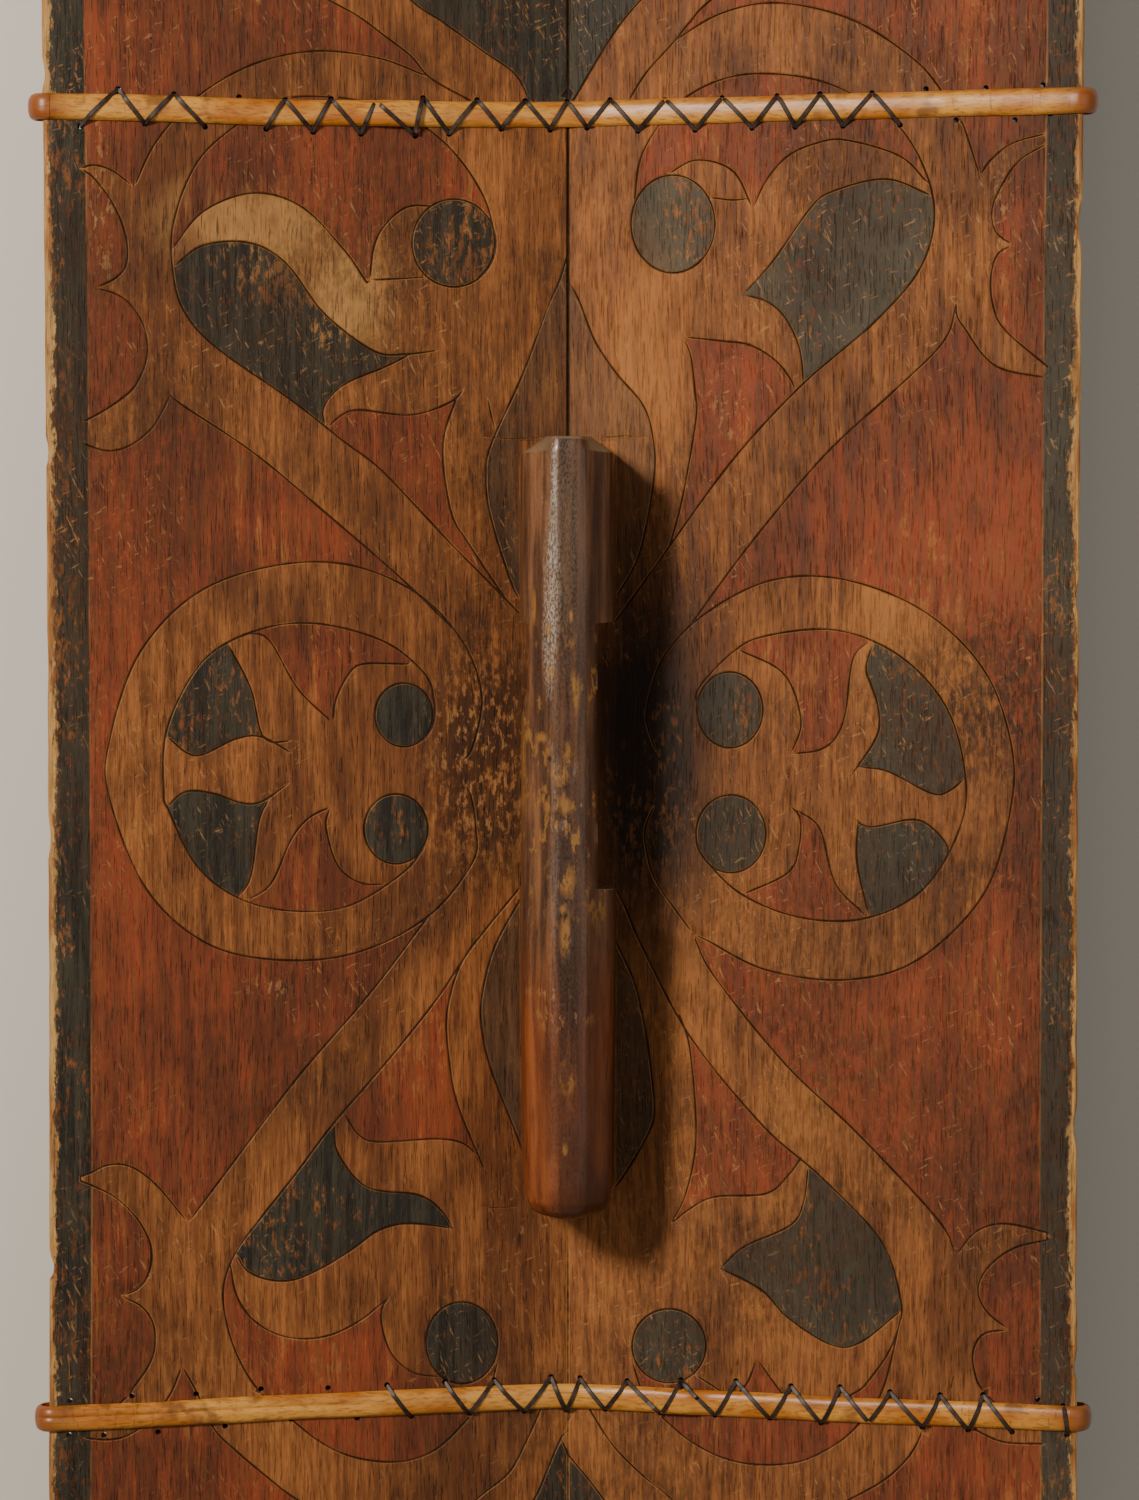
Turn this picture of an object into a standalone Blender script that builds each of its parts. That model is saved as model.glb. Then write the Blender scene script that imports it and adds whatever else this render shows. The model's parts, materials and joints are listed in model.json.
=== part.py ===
# A long wooden war shield of the Dayak kind, lying with its inner side up.
# X runs across the board, Y along it and Z up. The board's two halves meet in a shallow V, and its
# ridge, a small flat, lies on the ground at z = 0. The handle is carved in one with the board.

import math

import bmesh
import bpy
from mathutils import Matrix, Vector

# Board
BOARD_LENGTH = 1.240
BOARD_WIDTH = 0.400
STRAIGHT_LENGTH = 0.700       # between the shoulders, where the sides turn in to the points
SIDE_HOLLOW = 0.0015          # how far each side curves in at the middle
TIP_RADIUS = 0.016
VALLEY_DEPTH = 0.050          # from the line between the edges down to the crease
CREASE_THICKNESS = 0.013
EDGE_THICKNESS = 0.008
RIDGE_FLAT = 0.016
CREASE_X = 0.0018             # the crease and the handle stand a little right of the middle
EDGE_WEAR = 0.0014            # chamfer of the worn edges

# Handle, measured along Y from the middle of the board
HANDLE_TOP = 0.1236
HANDLE_BOTTOM = -0.1765
HANDLE_WIDTH = 0.0388
HANDLE_HEIGHT = 0.062         # above the crease
HANDLE_DRAFT = 0.0020         # its sides lean in by this much on the way up
HANDLE_FACET = 0.0110         # width of the flat along its front
HANDLE_SHOULDER = 0.0090      # the side facets fall this far
GRIP_TOP = 0.0512
GRIP_BOTTOM = -0.0490
GRIP_LEFT = 0.0172            # from the handle's middle to the grip's left side
GRIP_RIGHT = 0.0118
GRIP_DEPTH = 0.029
GRIP_HOLLOW = 0.0025          # the grip's front dips by this much
FINGER_GAP_ROUND = 0.009
FINGER_GAP_OVERRUN = 0.002    # the finger gap reaches this far under the blocks
ARRIS_WEAR = 0.0012

# Cane bands
BAND_Y = {"upper": 0.2515, "lower": -0.2515}
CANE_WIDTH = 0.0100
CANE_THICKNESS = 0.0027
CANE_GAP = 0.0003             # between the cane and the board
CREASE_LIFT = 0.0014          # the cane bridges the crease by this much
CREASE_SPAN = 0.008
BEND_STEPS = 6
HOUSING_DEPTH = 0.0048        # the bands cross the ridge in a shallow housing
HOUSING_WIDTH = 0.021

# Lacing, a split fibre through two rows of holes
HOLE_ROW = 0.0068             # from the middle of a band to a row of holes
HOLE_RADIUS = 0.0018
HOLE_SIDES = 6
LACE_RADIUS = 0.00045
LACE_CLEARANCE = 0.0003
STRAND_SPREAD = 0.00045       # the two passes stand apart in their hole
STITCH_PITCH = 0.0093         # along a band, from one hole to the next
OPEN_PITCH = 0.0112           # the same where the lace is lost
EDGE_PITCH = 0.0025           # the last stitch stands nearly square to its band
# Name: band, first hole, last hole, pitch and row of the first hole. A hole is given by its distance
# from the board's left edge, or with a minus sign from its right edge.
LACING_RUNS = {
    "upper_lacing_left": ("upper", 0.0140, 0.0620, OPEN_PITCH, "below"),
    "upper_lacing_main": ("upper", 0.0860, -0.0690, STITCH_PITCH, "below"),
    "lower_lacing_left": ("lower", 0.1330, 0.1423, STITCH_PITCH, "above"),
    "lower_lacing_main": ("lower", 0.1550, -0.0260, STITCH_PITCH, "above"),
    "lower_lacing_right": ("lower", -0.0110, -0.0085, EDGE_PITCH, "above"),
}
# holes that have lost their lace, given in the same way
EMPTY_HOLES = [
    ("upper", 0.0745, 0.0745, OPEN_PITCH, "above"),
    ("upper", -0.0580, -0.0160, OPEN_PITCH, "above"),
    ("lower", 0.0100, 0.1210, OPEN_PITCH, "above"),
    ("lower", -0.0185, -0.0185, OPEN_PITCH, "above"),
]

HALF_WIDTH = BOARD_WIDTH / 2
SHOULDER_Y = STRAIGHT_LENGTH / 2
TIP_Y = BOARD_LENGTH / 2
INNER_ANGLE = math.atan(VALLEY_DEPTH / HALF_WIDTH)
OUTER_RISE = CREASE_THICKNESS + VALLEY_DEPTH - EDGE_THICKNESS / math.cos(INNER_ANGLE)
OUTER_ANGLE = math.atan(OUTER_RISE / (HALF_WIDTH - RIDGE_FLAT / 2))
HANDLE_FRONT = CREASE_THICKNESS + HANDLE_HEIGHT
CUT_SPARE = 0.010             # cutters reach this far past what they cut

WOOD = ((0.30, 0.16, 0.08), 0.55)
CANE = ((0.62, 0.38, 0.12), 0.40)
LACE = ((0.05, 0.035, 0.025), 0.50)


def clear_scene():
    for item in list(bpy.data.objects):
        bpy.data.objects.remove(item, do_unlink=True)


def new_collection(name):
    collection = bpy.data.collections.new(name)
    bpy.context.scene.collection.children.link(collection)
    return collection


def finish_material(name, colour, roughness):
    material = bpy.data.materials.new(name)
    material.use_nodes = True
    shader = material.node_tree.nodes["Principled BSDF"]
    shader.inputs["Base Color"].default_value = (*colour, 1.0)
    shader.inputs["Roughness"].default_value = roughness
    shader.inputs["Metallic"].default_value = 0.0
    return material


# Surfaces of the board

def inner_z(x):
    return CREASE_THICKNESS + abs(x - CREASE_X) * math.tan(INNER_ANGLE)


def outer_z(x):
    return max(0.0, abs(x - CREASE_X) - RIDGE_FLAT / 2) * math.tan(OUTER_ANGLE)


def side_x(y):
    return HALF_WIDTH - SIDE_HOLLOW * max(0.0, 1 - (y / SHOULDER_Y) ** 2)


def inner_normal(x):
    side = 1 if x > CREASE_X else -1
    return Vector((-side * math.sin(INNER_ANGLE), 0, math.cos(INNER_ANGLE)))


def outer_normal(x):
    side = 1 if x > CREASE_X else -1
    return Vector((side * math.sin(OUTER_ANGLE), 0, -math.cos(OUTER_ANGLE)))


# Helpers that make solids

def filled_outline(name, points, thickness, matrix, collection):
    """A flat outline, extruded both ways from its plane, as a mesh object."""
    curve = bpy.data.curves.new(name, "CURVE")
    curve.dimensions = "2D"
    curve.fill_mode = "BOTH"
    curve.extrude = thickness / 2
    spline = curve.splines.new("POLY")
    spline.points.add(len(points) - 1)
    for point, place in zip(spline.points, points):
        point.co = (place[0], place[1], 0, 1)
    spline.use_cyclic_u = True
    guide = bpy.data.objects.new(name + "_outline", curve)
    bpy.context.scene.collection.objects.link(guide)
    bpy.context.view_layer.update()
    depsgraph = bpy.context.evaluated_depsgraph_get()
    mesh = bpy.data.meshes.new_from_object(guide.evaluated_get(depsgraph))
    bpy.data.objects.remove(guide, do_unlink=True)
    bpy.data.curves.remove(curve)
    shape = bmesh.new()
    shape.from_mesh(mesh)
    bmesh.ops.remove_doubles(shape, verts=shape.verts, dist=0.00001)
    bmesh.ops.recalc_face_normals(shape, faces=shape.faces)
    shape.to_mesh(mesh)
    shape.free()
    solid = bpy.data.objects.new(name, mesh)
    solid.matrix_world = matrix
    collection.objects.link(solid)
    return solid


def loft(name, rings, closed, collection):
    """A skin over rings of the same number of points, with end caps or joined end to end."""
    shape = bmesh.new()
    loops = []
    for ring in rings:
        corners = [shape.verts.new(point) for point in ring]
        count = len(corners)
        loops.append([shape.edges.new((corners[i], corners[(i + 1) % count])) for i in range(count)])
    neighbours = list(zip(loops, loops[1:]))
    if closed:
        neighbours.append((loops[-1], loops[0]))
    for first, second in neighbours:
        bmesh.ops.bridge_loops(shape, edges=first + second)
    if not closed:
        for loop in (loops[0], loops[-1]):
            bmesh.ops.contextual_create(shape, geom=loop)
    bmesh.ops.recalc_face_normals(shape, faces=shape.faces)
    mesh = bpy.data.meshes.new(name)
    shape.to_mesh(mesh)
    shape.free()
    solid = bpy.data.objects.new(name, mesh)
    collection.objects.link(solid)
    return solid


def box(name, low, high, collection):
    shape = bmesh.new()
    bmesh.ops.create_cube(shape, size=1.0)
    size = Vector(high) - Vector(low)
    middle = (Vector(high) + Vector(low)) / 2
    bmesh.ops.scale(shape, vec=size, verts=shape.verts)
    bmesh.ops.translate(shape, vec=middle, verts=shape.verts)
    mesh = bpy.data.meshes.new(name)
    shape.to_mesh(mesh)
    shape.free()
    solid = bpy.data.objects.new(name, mesh)
    collection.objects.link(solid)
    return solid


def hide_guide(solid):
    solid.hide_render = True
    solid.display_type = "WIRE"


def add_boolean(solid, other, operation):
    modifier = solid.modifiers.new(other.name, "BOOLEAN")
    modifier.operation = operation
    modifier.solver = "EXACT"
    modifier.object = other
    hide_guide(other)


def add_bevel(solid, width, angle):
    modifier = solid.modifiers.new("worn edges", "BEVEL")
    modifier.width = width
    modifier.segments = 1
    modifier.limit_method = "ANGLE"
    modifier.angle_limit = math.radians(angle)


# Board

def board_outline():
    """Right side from the lower point to the upper one, then the left side back."""
    taper = math.atan2(HALF_WIDTH, TIP_Y - TIP_RADIUS - SHOULDER_Y)
    side_steps = 6
    right = []
    for step in range(3):
        angle = -math.pi / 2 + step / 2 * (math.pi / 2 - taper)
        right.append((TIP_RADIUS * math.cos(angle), -TIP_Y + TIP_RADIUS * (1 + math.sin(angle))))
    for step in range(side_steps + 1):
        y = SHOULDER_Y * (2 * step / side_steps - 1)
        right.append((side_x(y), y))
    right += [(x, -y) for x, y in reversed(right[1:3])]
    left = [(-x, -y) for x, y in right]
    return right + [(0, TIP_Y)] + left[1:]


def board_section():
    reach = HALF_WIDTH + CUT_SPARE
    flat = RIDGE_FLAT / 2
    bottom = [(-reach, outer_z(-reach)), (CREASE_X - flat, 0), (CREASE_X + flat, 0), (reach, outer_z(reach))]
    top = [(reach, inner_z(reach)), (CREASE_X, CREASE_THICKNESS), (-reach, inner_z(-reach))]
    return bottom + top


def from_edge(distance):
    return distance - HALF_WIDTH if distance > 0 else distance + HALF_WIDTH


def hole_sites(band, first, last, pitch, first_row):
    """X, Y and side of each hole of a run: the holes stand by turns above and below the band."""
    start = from_edge(first)
    span = from_edge(last) - start
    steps = round(span / pitch)
    first_side = 1 if first_row == "above" else -1
    sites = []
    for i in range(steps + 1):
        side = first_side if i % 2 == 0 else -first_side
        sites.append((start + span * i / max(steps, 1), BAND_Y[band] + side * HOLE_ROW, side))
    return sites


def hole_cutter(collection):
    shape = bmesh.new()
    for run in list(LACING_RUNS.values()) + EMPTY_HOLES:
        for x, y, side in hole_sites(*run):
            height = inner_z(x) - outer_z(x) + 2 * CUT_SPARE
            middle = (inner_z(x) + outer_z(x)) / 2
            bmesh.ops.create_cone(shape, cap_ends=True, segments=HOLE_SIDES, radius1=HOLE_RADIUS,
                                  radius2=HOLE_RADIUS, depth=height, matrix=Matrix.Translation((x, y, middle)))
    mesh = bpy.data.meshes.new("lacing_holes")
    shape.to_mesh(mesh)
    shape.free()
    cutter = bpy.data.objects.new("lacing_holes", mesh)
    collection.objects.link(cutter)
    return cutter


def handle_stations():
    """Along Y: share of the full width, share of the front flat, and how far the front is lowered."""
    return [
        (HANDLE_BOTTOM, 0.40, 0.55, 0.0090),
        (HANDLE_BOTTOM + 0.0022, 0.72, 0.85, 0.0045),
        (HANDLE_BOTTOM + 0.0085, 0.95, 1.00, 0.0018),
        (HANDLE_BOTTOM + 0.0300, 0.96, 1.10, 0.0005),
        (GRIP_BOTTOM - 0.0200, 1.00, 1.10, 0.0000),
        (GRIP_BOTTOM + 0.0150, 1.00, 1.00, GRIP_HOLLOW * 0.6),
        ((GRIP_BOTTOM + GRIP_TOP) / 2, 1.00, 1.00, GRIP_HOLLOW),
        (GRIP_TOP - 0.0150, 1.00, 1.00, GRIP_HOLLOW * 0.6),
        (GRIP_TOP + 0.0200, 1.00, 1.10, 0.0000),
        (HANDLE_TOP - 0.0070, 0.98, 0.95, 0.0008),
        (HANDLE_TOP, 0.62, 0.70, 0.0075),
    ]


def handle_ring(y, width_share, flat_share, drop):
    base = HANDLE_WIDTH / 2 * width_share
    shoulder = base - HANDLE_DRAFT
    flat = HANDLE_FACET / 2 * flat_share
    front = HANDLE_FRONT - drop
    low = front - HANDLE_SHOULDER
    foot = CREASE_THICKNESS / 2
    right = [(base, foot), (shoulder, low), (flat, front)]
    corners = right + [(-x, z) for x, z in reversed(right)]
    return [(CREASE_X + x, y, z) for x, z in corners]


def finger_gap_outline():
    """Seen from the side: open below, with two round upper corners under the grip."""
    low = -CUT_SPARE
    high = HANDLE_FRONT - GRIP_HOLLOW - GRIP_DEPTH
    left = GRIP_BOTTOM - FINGER_GAP_OVERRUN
    right = GRIP_TOP + FINGER_GAP_OVERRUN
    points = [(left, low), (right, low)]
    for side, corner in ((1, right), (-1, left)):
        turn = []
        for step in range(4):
            angle = math.radians(30 * step)
            turn.append((corner - side * FINGER_GAP_ROUND * (1 - math.cos(angle)),
                         high - FINGER_GAP_ROUND * (1 - math.sin(angle))))
        points += turn if side == 1 else turn[::-1]
    return points


def make_handle(collection):
    handle = loft("handle_blank", [handle_ring(*station) for station in handle_stations()], False, collection)
    across = Matrix(((0, 0, 1, CREASE_X), (1, 0, 0, 0), (0, 1, 0, 0), (0, 0, 0, 1)))
    gap = filled_outline("finger_gap", finger_gap_outline(), HANDLE_WIDTH + 2 * CUT_SPARE, across, collection)
    add_boolean(handle, gap, "DIFFERENCE")
    reach = HANDLE_WIDTH / 2 + CUT_SPARE
    top = HANDLE_FRONT + CUT_SPARE
    left_cut = box("grip_left_cut", (CREASE_X - reach, GRIP_BOTTOM, -CUT_SPARE),
                   (CREASE_X - GRIP_LEFT, GRIP_TOP, top), collection)
    right_cut = box("grip_right_cut", (CREASE_X + GRIP_RIGHT, GRIP_BOTTOM, -CUT_SPARE),
                    (CREASE_X + reach, GRIP_TOP, top), collection)
    add_boolean(handle, left_cut, "DIFFERENCE")
    add_boolean(handle, right_cut, "DIFFERENCE")
    add_bevel(handle, ARRIS_WEAR, 60)
    hide_guide(handle)
    return handle


def make_board(parts, cutters):
    along = Matrix(((1, 0, 0, 0), (0, 0, -1, 0), (0, 1, 0, 0), (0, 0, 0, 1)))
    board = filled_outline("shield_board", board_section(), BOARD_LENGTH + 2 * CUT_SPARE, along, parts)
    height = CREASE_THICKNESS + VALLEY_DEPTH + 4 * CUT_SPARE
    upright = Matrix.Translation((0, 0, height / 2 - CUT_SPARE))
    plan = filled_outline("plan_of_board", board_outline(), height, upright, cutters)
    add_boolean(board, plan, "INTERSECT")
    add_bevel(board, EDGE_WEAR, 60)
    for band, y in BAND_Y.items():
        housing = box(band + "_housing", (CREASE_X - HALF_WIDTH / 2, y - HOUSING_WIDTH / 2, -CUT_SPARE),
                      (CREASE_X + HALF_WIDTH / 2, y + HOUSING_WIDTH / 2, HOUSING_DEPTH), cutters)
        add_boolean(board, housing, "DIFFERENCE")
    add_boolean(board, make_handle(cutters), "UNION")
    add_boolean(board, hole_cutter(cutters), "DIFFERENCE")
    board.data.materials.append(finish_material("carved wood", *WOOD))
    return board


# Cane bands and lacing

def inner_line(x):
    """Foot of the cane on the inner face and the way it faces; it bridges the crease."""
    off = abs(x - CREASE_X)
    if off < CREASE_SPAN:
        share = 1 - off / CREASE_SPAN
        turn = INNER_ANGLE * (1 - share)
        side = 1 if x > CREASE_X else -1
        normal = Vector((-side * math.sin(turn), 0, math.cos(turn)))
        return Vector((x, 0, inner_z(x) + CREASE_LIFT * share)) + normal * CANE_GAP, normal
    normal = inner_normal(x)
    return Vector((x, 0, inner_z(x))) + normal * CANE_GAP, normal


def outer_line(x):
    """The same on the outer face, where the cane lies in the housing at the ridge."""
    if outer_z(x) < HOUSING_DEPTH:
        return Vector((x, 0, HOUSING_DEPTH - CANE_GAP)), Vector((0, 0, -1))
    normal = outer_normal(x)
    return Vector((x, 0, outer_z(x))) + normal * CANE_GAP, normal


def edge_bend(side, y):
    """Round the board's edge, from the inner face to the outer one."""
    x = side * (side_x(y) - EDGE_WEAR)
    middle = Vector((x, 0, (inner_z(x) + outer_z(x)) / 2))
    radius = EDGE_THICKNESS / 2 + 2 * CANE_GAP
    start = math.pi / 2 + side * INNER_ANGLE
    end = side * OUTER_ANGLE - math.pi / 2 + (0 if side > 0 else 2 * math.pi)
    frames = []
    for step in range(BEND_STEPS + 1):
        angle = start + (end - start) * step / BEND_STEPS
        normal = Vector((math.cos(angle), 0, math.sin(angle)))
        frames.append((middle + normal * radius, normal))
    return frames


def band_frames(y):
    """All the way round the board, starting at the left edge on the inner face."""
    reach = side_x(y) - 2 * EDGE_THICKNESS
    stops = [-reach, CREASE_X - CREASE_SPAN, CREASE_X, CREASE_X + CREASE_SPAN, reach]
    ridge_reach = RIDGE_FLAT / 2 + HOUSING_DEPTH / math.tan(OUTER_ANGLE)
    under = [reach, CREASE_X + ridge_reach + CANE_GAP, CREASE_X + ridge_reach - CANE_THICKNESS,
             CREASE_X - ridge_reach + CANE_THICKNESS, CREASE_X - ridge_reach - CANE_GAP, -reach]
    frames = [inner_line(x) for x in stops] + edge_bend(1, y)
    return frames + [outer_line(x) for x in under] + edge_bend(-1, y)[::-1]


def cane_section():
    """Half round: across the cane, and up from its flat side."""
    half = CANE_WIDTH / 2
    right = [(half, 0), (half * 0.84, CANE_THICKNESS * 0.50), (half * 0.44, CANE_THICKNESS * 0.90)]
    return right + [(0, CANE_THICKNESS)] + [(-u, v) for u, v in reversed(right)]


def make_band(band, parts):
    y = BAND_Y[band]
    rings = []
    for foot, normal in band_frames(y):
        rings.append([foot + Vector((0, y + u, 0)) + normal * v for u, v in cane_section()])
    solid = loft(band + "_cane_band", rings, True, parts)
    solid.data.materials.append(finish_material(band + " cane", *CANE))
    return solid


def stitch(line, start, end, band_y):
    """One diagonal over the cane: shoulder, crown and shoulder, between two hole mouths."""
    crown = CANE_THICKNESS + LACE_CLEARANCE + 2 * LACE_RADIUS
    shoulder = CANE_THICKNESS * 0.50 + LACE_CLEARANCE + LACE_RADIUS
    rise = (start[2] * CANE_WIDTH * 0.49, shoulder, 0.20)
    fall = (end[2] * CANE_WIDTH * 0.49, shoulder, 0.80)
    points = []
    for across, lift, share in (rise, (0, crown, 0.5), fall):
        foot, normal = line(start[0] + share * (end[0] - start[0]))
        points.append(foot + normal * lift + Vector((0, band_y + across, 0)))
    return points


def lace_route(run):
    """Out along the run and back again: each stitch lies once on the inner and once on the outer face."""
    sites = hole_sites(*run)
    band_y = BAND_Y[run[0]]
    spread = STRAND_SPREAD if len(sites) > 2 else 0
    route = []
    there = list(range(len(sites)))
    for direction, order in ((1, there), (-1, there[::-1])):
        for start, end in zip(order, order[1:]):
            on_inner = (min(start, end) % 2 == 0) == (direction == 1)
            line = inner_line if on_inner else outer_line
            mouths = []
            for hole, towards in ((start, end), (end, start)):
                x, y, side = sites[hole]
                aside = spread if towards > hole else -spread
                level = inner_z(x) if on_inner else max(outer_z(x), HOUSING_DEPTH)
                mouths.append(Vector((x + aside, y + direction * (spread + LACE_CLEARANCE / 3), level)))
            route += [mouths[0], *stitch(line, sites[start], sites[end], band_y), mouths[1]]
    return route


def make_lacing(name, run, parts):
    curve = bpy.data.curves.new(name, "CURVE")
    curve.dimensions = "3D"
    curve.bevel_depth = LACE_RADIUS
    curve.bevel_resolution = 0
    route = lace_route(run)
    spline = curve.splines.new("POLY")
    spline.points.add(len(route) - 1)
    for point, place in zip(spline.points, route):
        point.co = (*place, 1)
    spline.use_cyclic_u = True
    lace = bpy.data.objects.new(name, curve)
    parts.objects.link(lace)
    curve.materials.append(finish_material(name.replace("_", " "), *LACE))
    return lace


def main():
    clear_scene()
    parts = new_collection("Dayak war shield")
    cutters = new_collection("Cutters")
    make_board(parts, cutters)
    for band in BAND_Y:
        make_band(band, parts)
    for name, run in LACING_RUNS.items():
        make_lacing(name, run, parts)


main()
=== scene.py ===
import json
import math
import random

import bmesh
import bpy
import numpy as np
from mathutils import Matrix, Vector, kdtree, noise
from mathutils.geometry import delaunay_2d_cdt, intersect_line_line_2d

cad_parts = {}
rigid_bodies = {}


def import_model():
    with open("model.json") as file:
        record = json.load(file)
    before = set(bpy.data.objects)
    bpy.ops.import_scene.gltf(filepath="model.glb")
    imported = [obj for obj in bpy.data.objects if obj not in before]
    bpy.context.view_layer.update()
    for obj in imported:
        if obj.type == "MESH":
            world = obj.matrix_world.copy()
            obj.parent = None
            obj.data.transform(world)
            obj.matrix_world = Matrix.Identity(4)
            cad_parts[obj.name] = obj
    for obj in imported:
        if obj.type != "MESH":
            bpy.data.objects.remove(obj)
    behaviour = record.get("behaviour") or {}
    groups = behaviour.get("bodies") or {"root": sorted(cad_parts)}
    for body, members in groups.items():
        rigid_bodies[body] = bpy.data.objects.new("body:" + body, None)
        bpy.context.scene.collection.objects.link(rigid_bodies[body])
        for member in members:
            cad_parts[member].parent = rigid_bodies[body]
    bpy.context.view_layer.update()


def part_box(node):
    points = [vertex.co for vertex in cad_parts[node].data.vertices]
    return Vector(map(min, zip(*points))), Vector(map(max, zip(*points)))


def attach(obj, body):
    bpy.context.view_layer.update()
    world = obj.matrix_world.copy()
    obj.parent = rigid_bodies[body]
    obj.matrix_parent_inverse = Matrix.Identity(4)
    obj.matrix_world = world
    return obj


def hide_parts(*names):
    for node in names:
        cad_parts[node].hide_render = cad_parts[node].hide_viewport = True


# A long wooden war shield of the Dayak kind, lying with its inner side up

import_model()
print("frame loaded")

# sizes in metres; the first three are those of the frame's board
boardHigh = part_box("shield_board")[1]
board = {
    "halfWidth": boardHigh[0], "tipY": boardHigh[1], "front": boardHigh[2],
    "shoulderY": 0.350, "sideHollow": 0.0015, "tipRadius": 0.016,
    "valley": 0.050, "creaseThick": 0.013, "edgeThick": 0.008, "ridgeFlat": 0.016, "creaseX": 0.0018,
    "outlineStep": 0.0030, "innerGrid": 0.0052, "outerGrid": 0.0100, "undulation": 0.00028,
    "edgeRound": 0.0017, "edgeWear": 0.0004, "leftBorder": 0.0160, "rightBorder": 0.0140,
    "holeRadius": 0.00115, "holeCorners": 8, "bandY": {"upper": 0.2510, "lower": -0.2560},
    "housingDepth": 0.0048, "housingWidth": 0.021, "housingReach": 0.060,
    "footHalf": 0.0192, "feet": ((-0.1770, -0.0505), (0.0525, 0.1230)),
}
groove = {"halfWidth": 0.00070, "depth": 0.00070, "step": 0.0022, "taper": 0.0030,
          "creaseWidth": 0.00085, "creaseDepth": 0.0011, "crackWidth": 0.00035, "crackDepth": 0.0005,
          "borderShare": 0.2, "fineStep": 0.00025, "reach": 0.0032}
innerRise = board["valley"] / board["halfWidth"]
outerTop = (board["creaseThick"] + board["valley"]
            - board["edgeThick"] / math.cos(math.atan(innerRise)))
outerRise = outerTop / (board["halfWidth"] - board["ridgeFlat"] / 2)
creaseX = board["creaseX"]


def innerZ(x):
    return board["creaseThick"] + abs(x - creaseX) * innerRise


def outerZ(x):
    return max(0.0, abs(x - creaseX) - board["ridgeFlat"] / 2) * outerRise


def sideX(y):
    return board["halfWidth"] - board["sideHollow"] * max(0.0, 1 - (y / board["shoulderY"]) ** 2)


# The camera looks down on the lying shield, leaning a little towards its lower end
view = {"lens": 110.0, "sensor": 36.0, "lean": 2.56, "place": (0.0024, 0.082, 1.8242),
        "photoWidth": 1139, "photoHeight": 1500}
cameraData = bpy.data.cameras.new("camera")
cameraData.lens = view["lens"]
cameraData.sensor_width = view["sensor"]
cameraData.clip_start = 0.05
camera = bpy.data.objects.new("camera", cameraData)
bpy.context.scene.collection.objects.link(camera)
camera.location = view["place"]
camera.rotation_euler = (-math.radians(view["lean"]), 0, 0)
bpy.context.scene.camera = camera
cameraTurn = Matrix.Rotation(-math.radians(view["lean"]), 3, "X")
pixelsPerRay = view["lens"] / view["sensor"] * view["photoHeight"]


# The sight line's way through a point of the photo, in its pixels
def sightLine(px, py):
    return cameraTurn @ Vector(((px - view["photoWidth"] / 2) / pixelsPerRay,
                                (view["photoHeight"] / 2 - py) / pixelsPerRay, -1))


# Where it meets the inner face
def onBoard(px, py):
    ray = sightLine(px, py)
    start = Vector(view["place"])
    for side in (1, -1):
        base = board["creaseThick"] - side * creaseX * innerRise
        along = (base + side * start.x * innerRise - start.z) / (ray.z - side * ray.x * innerRise)
        place = start + ray * along
        if (place.x - creaseX) * side >= 0:
            break
    return place.x, place.y


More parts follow.
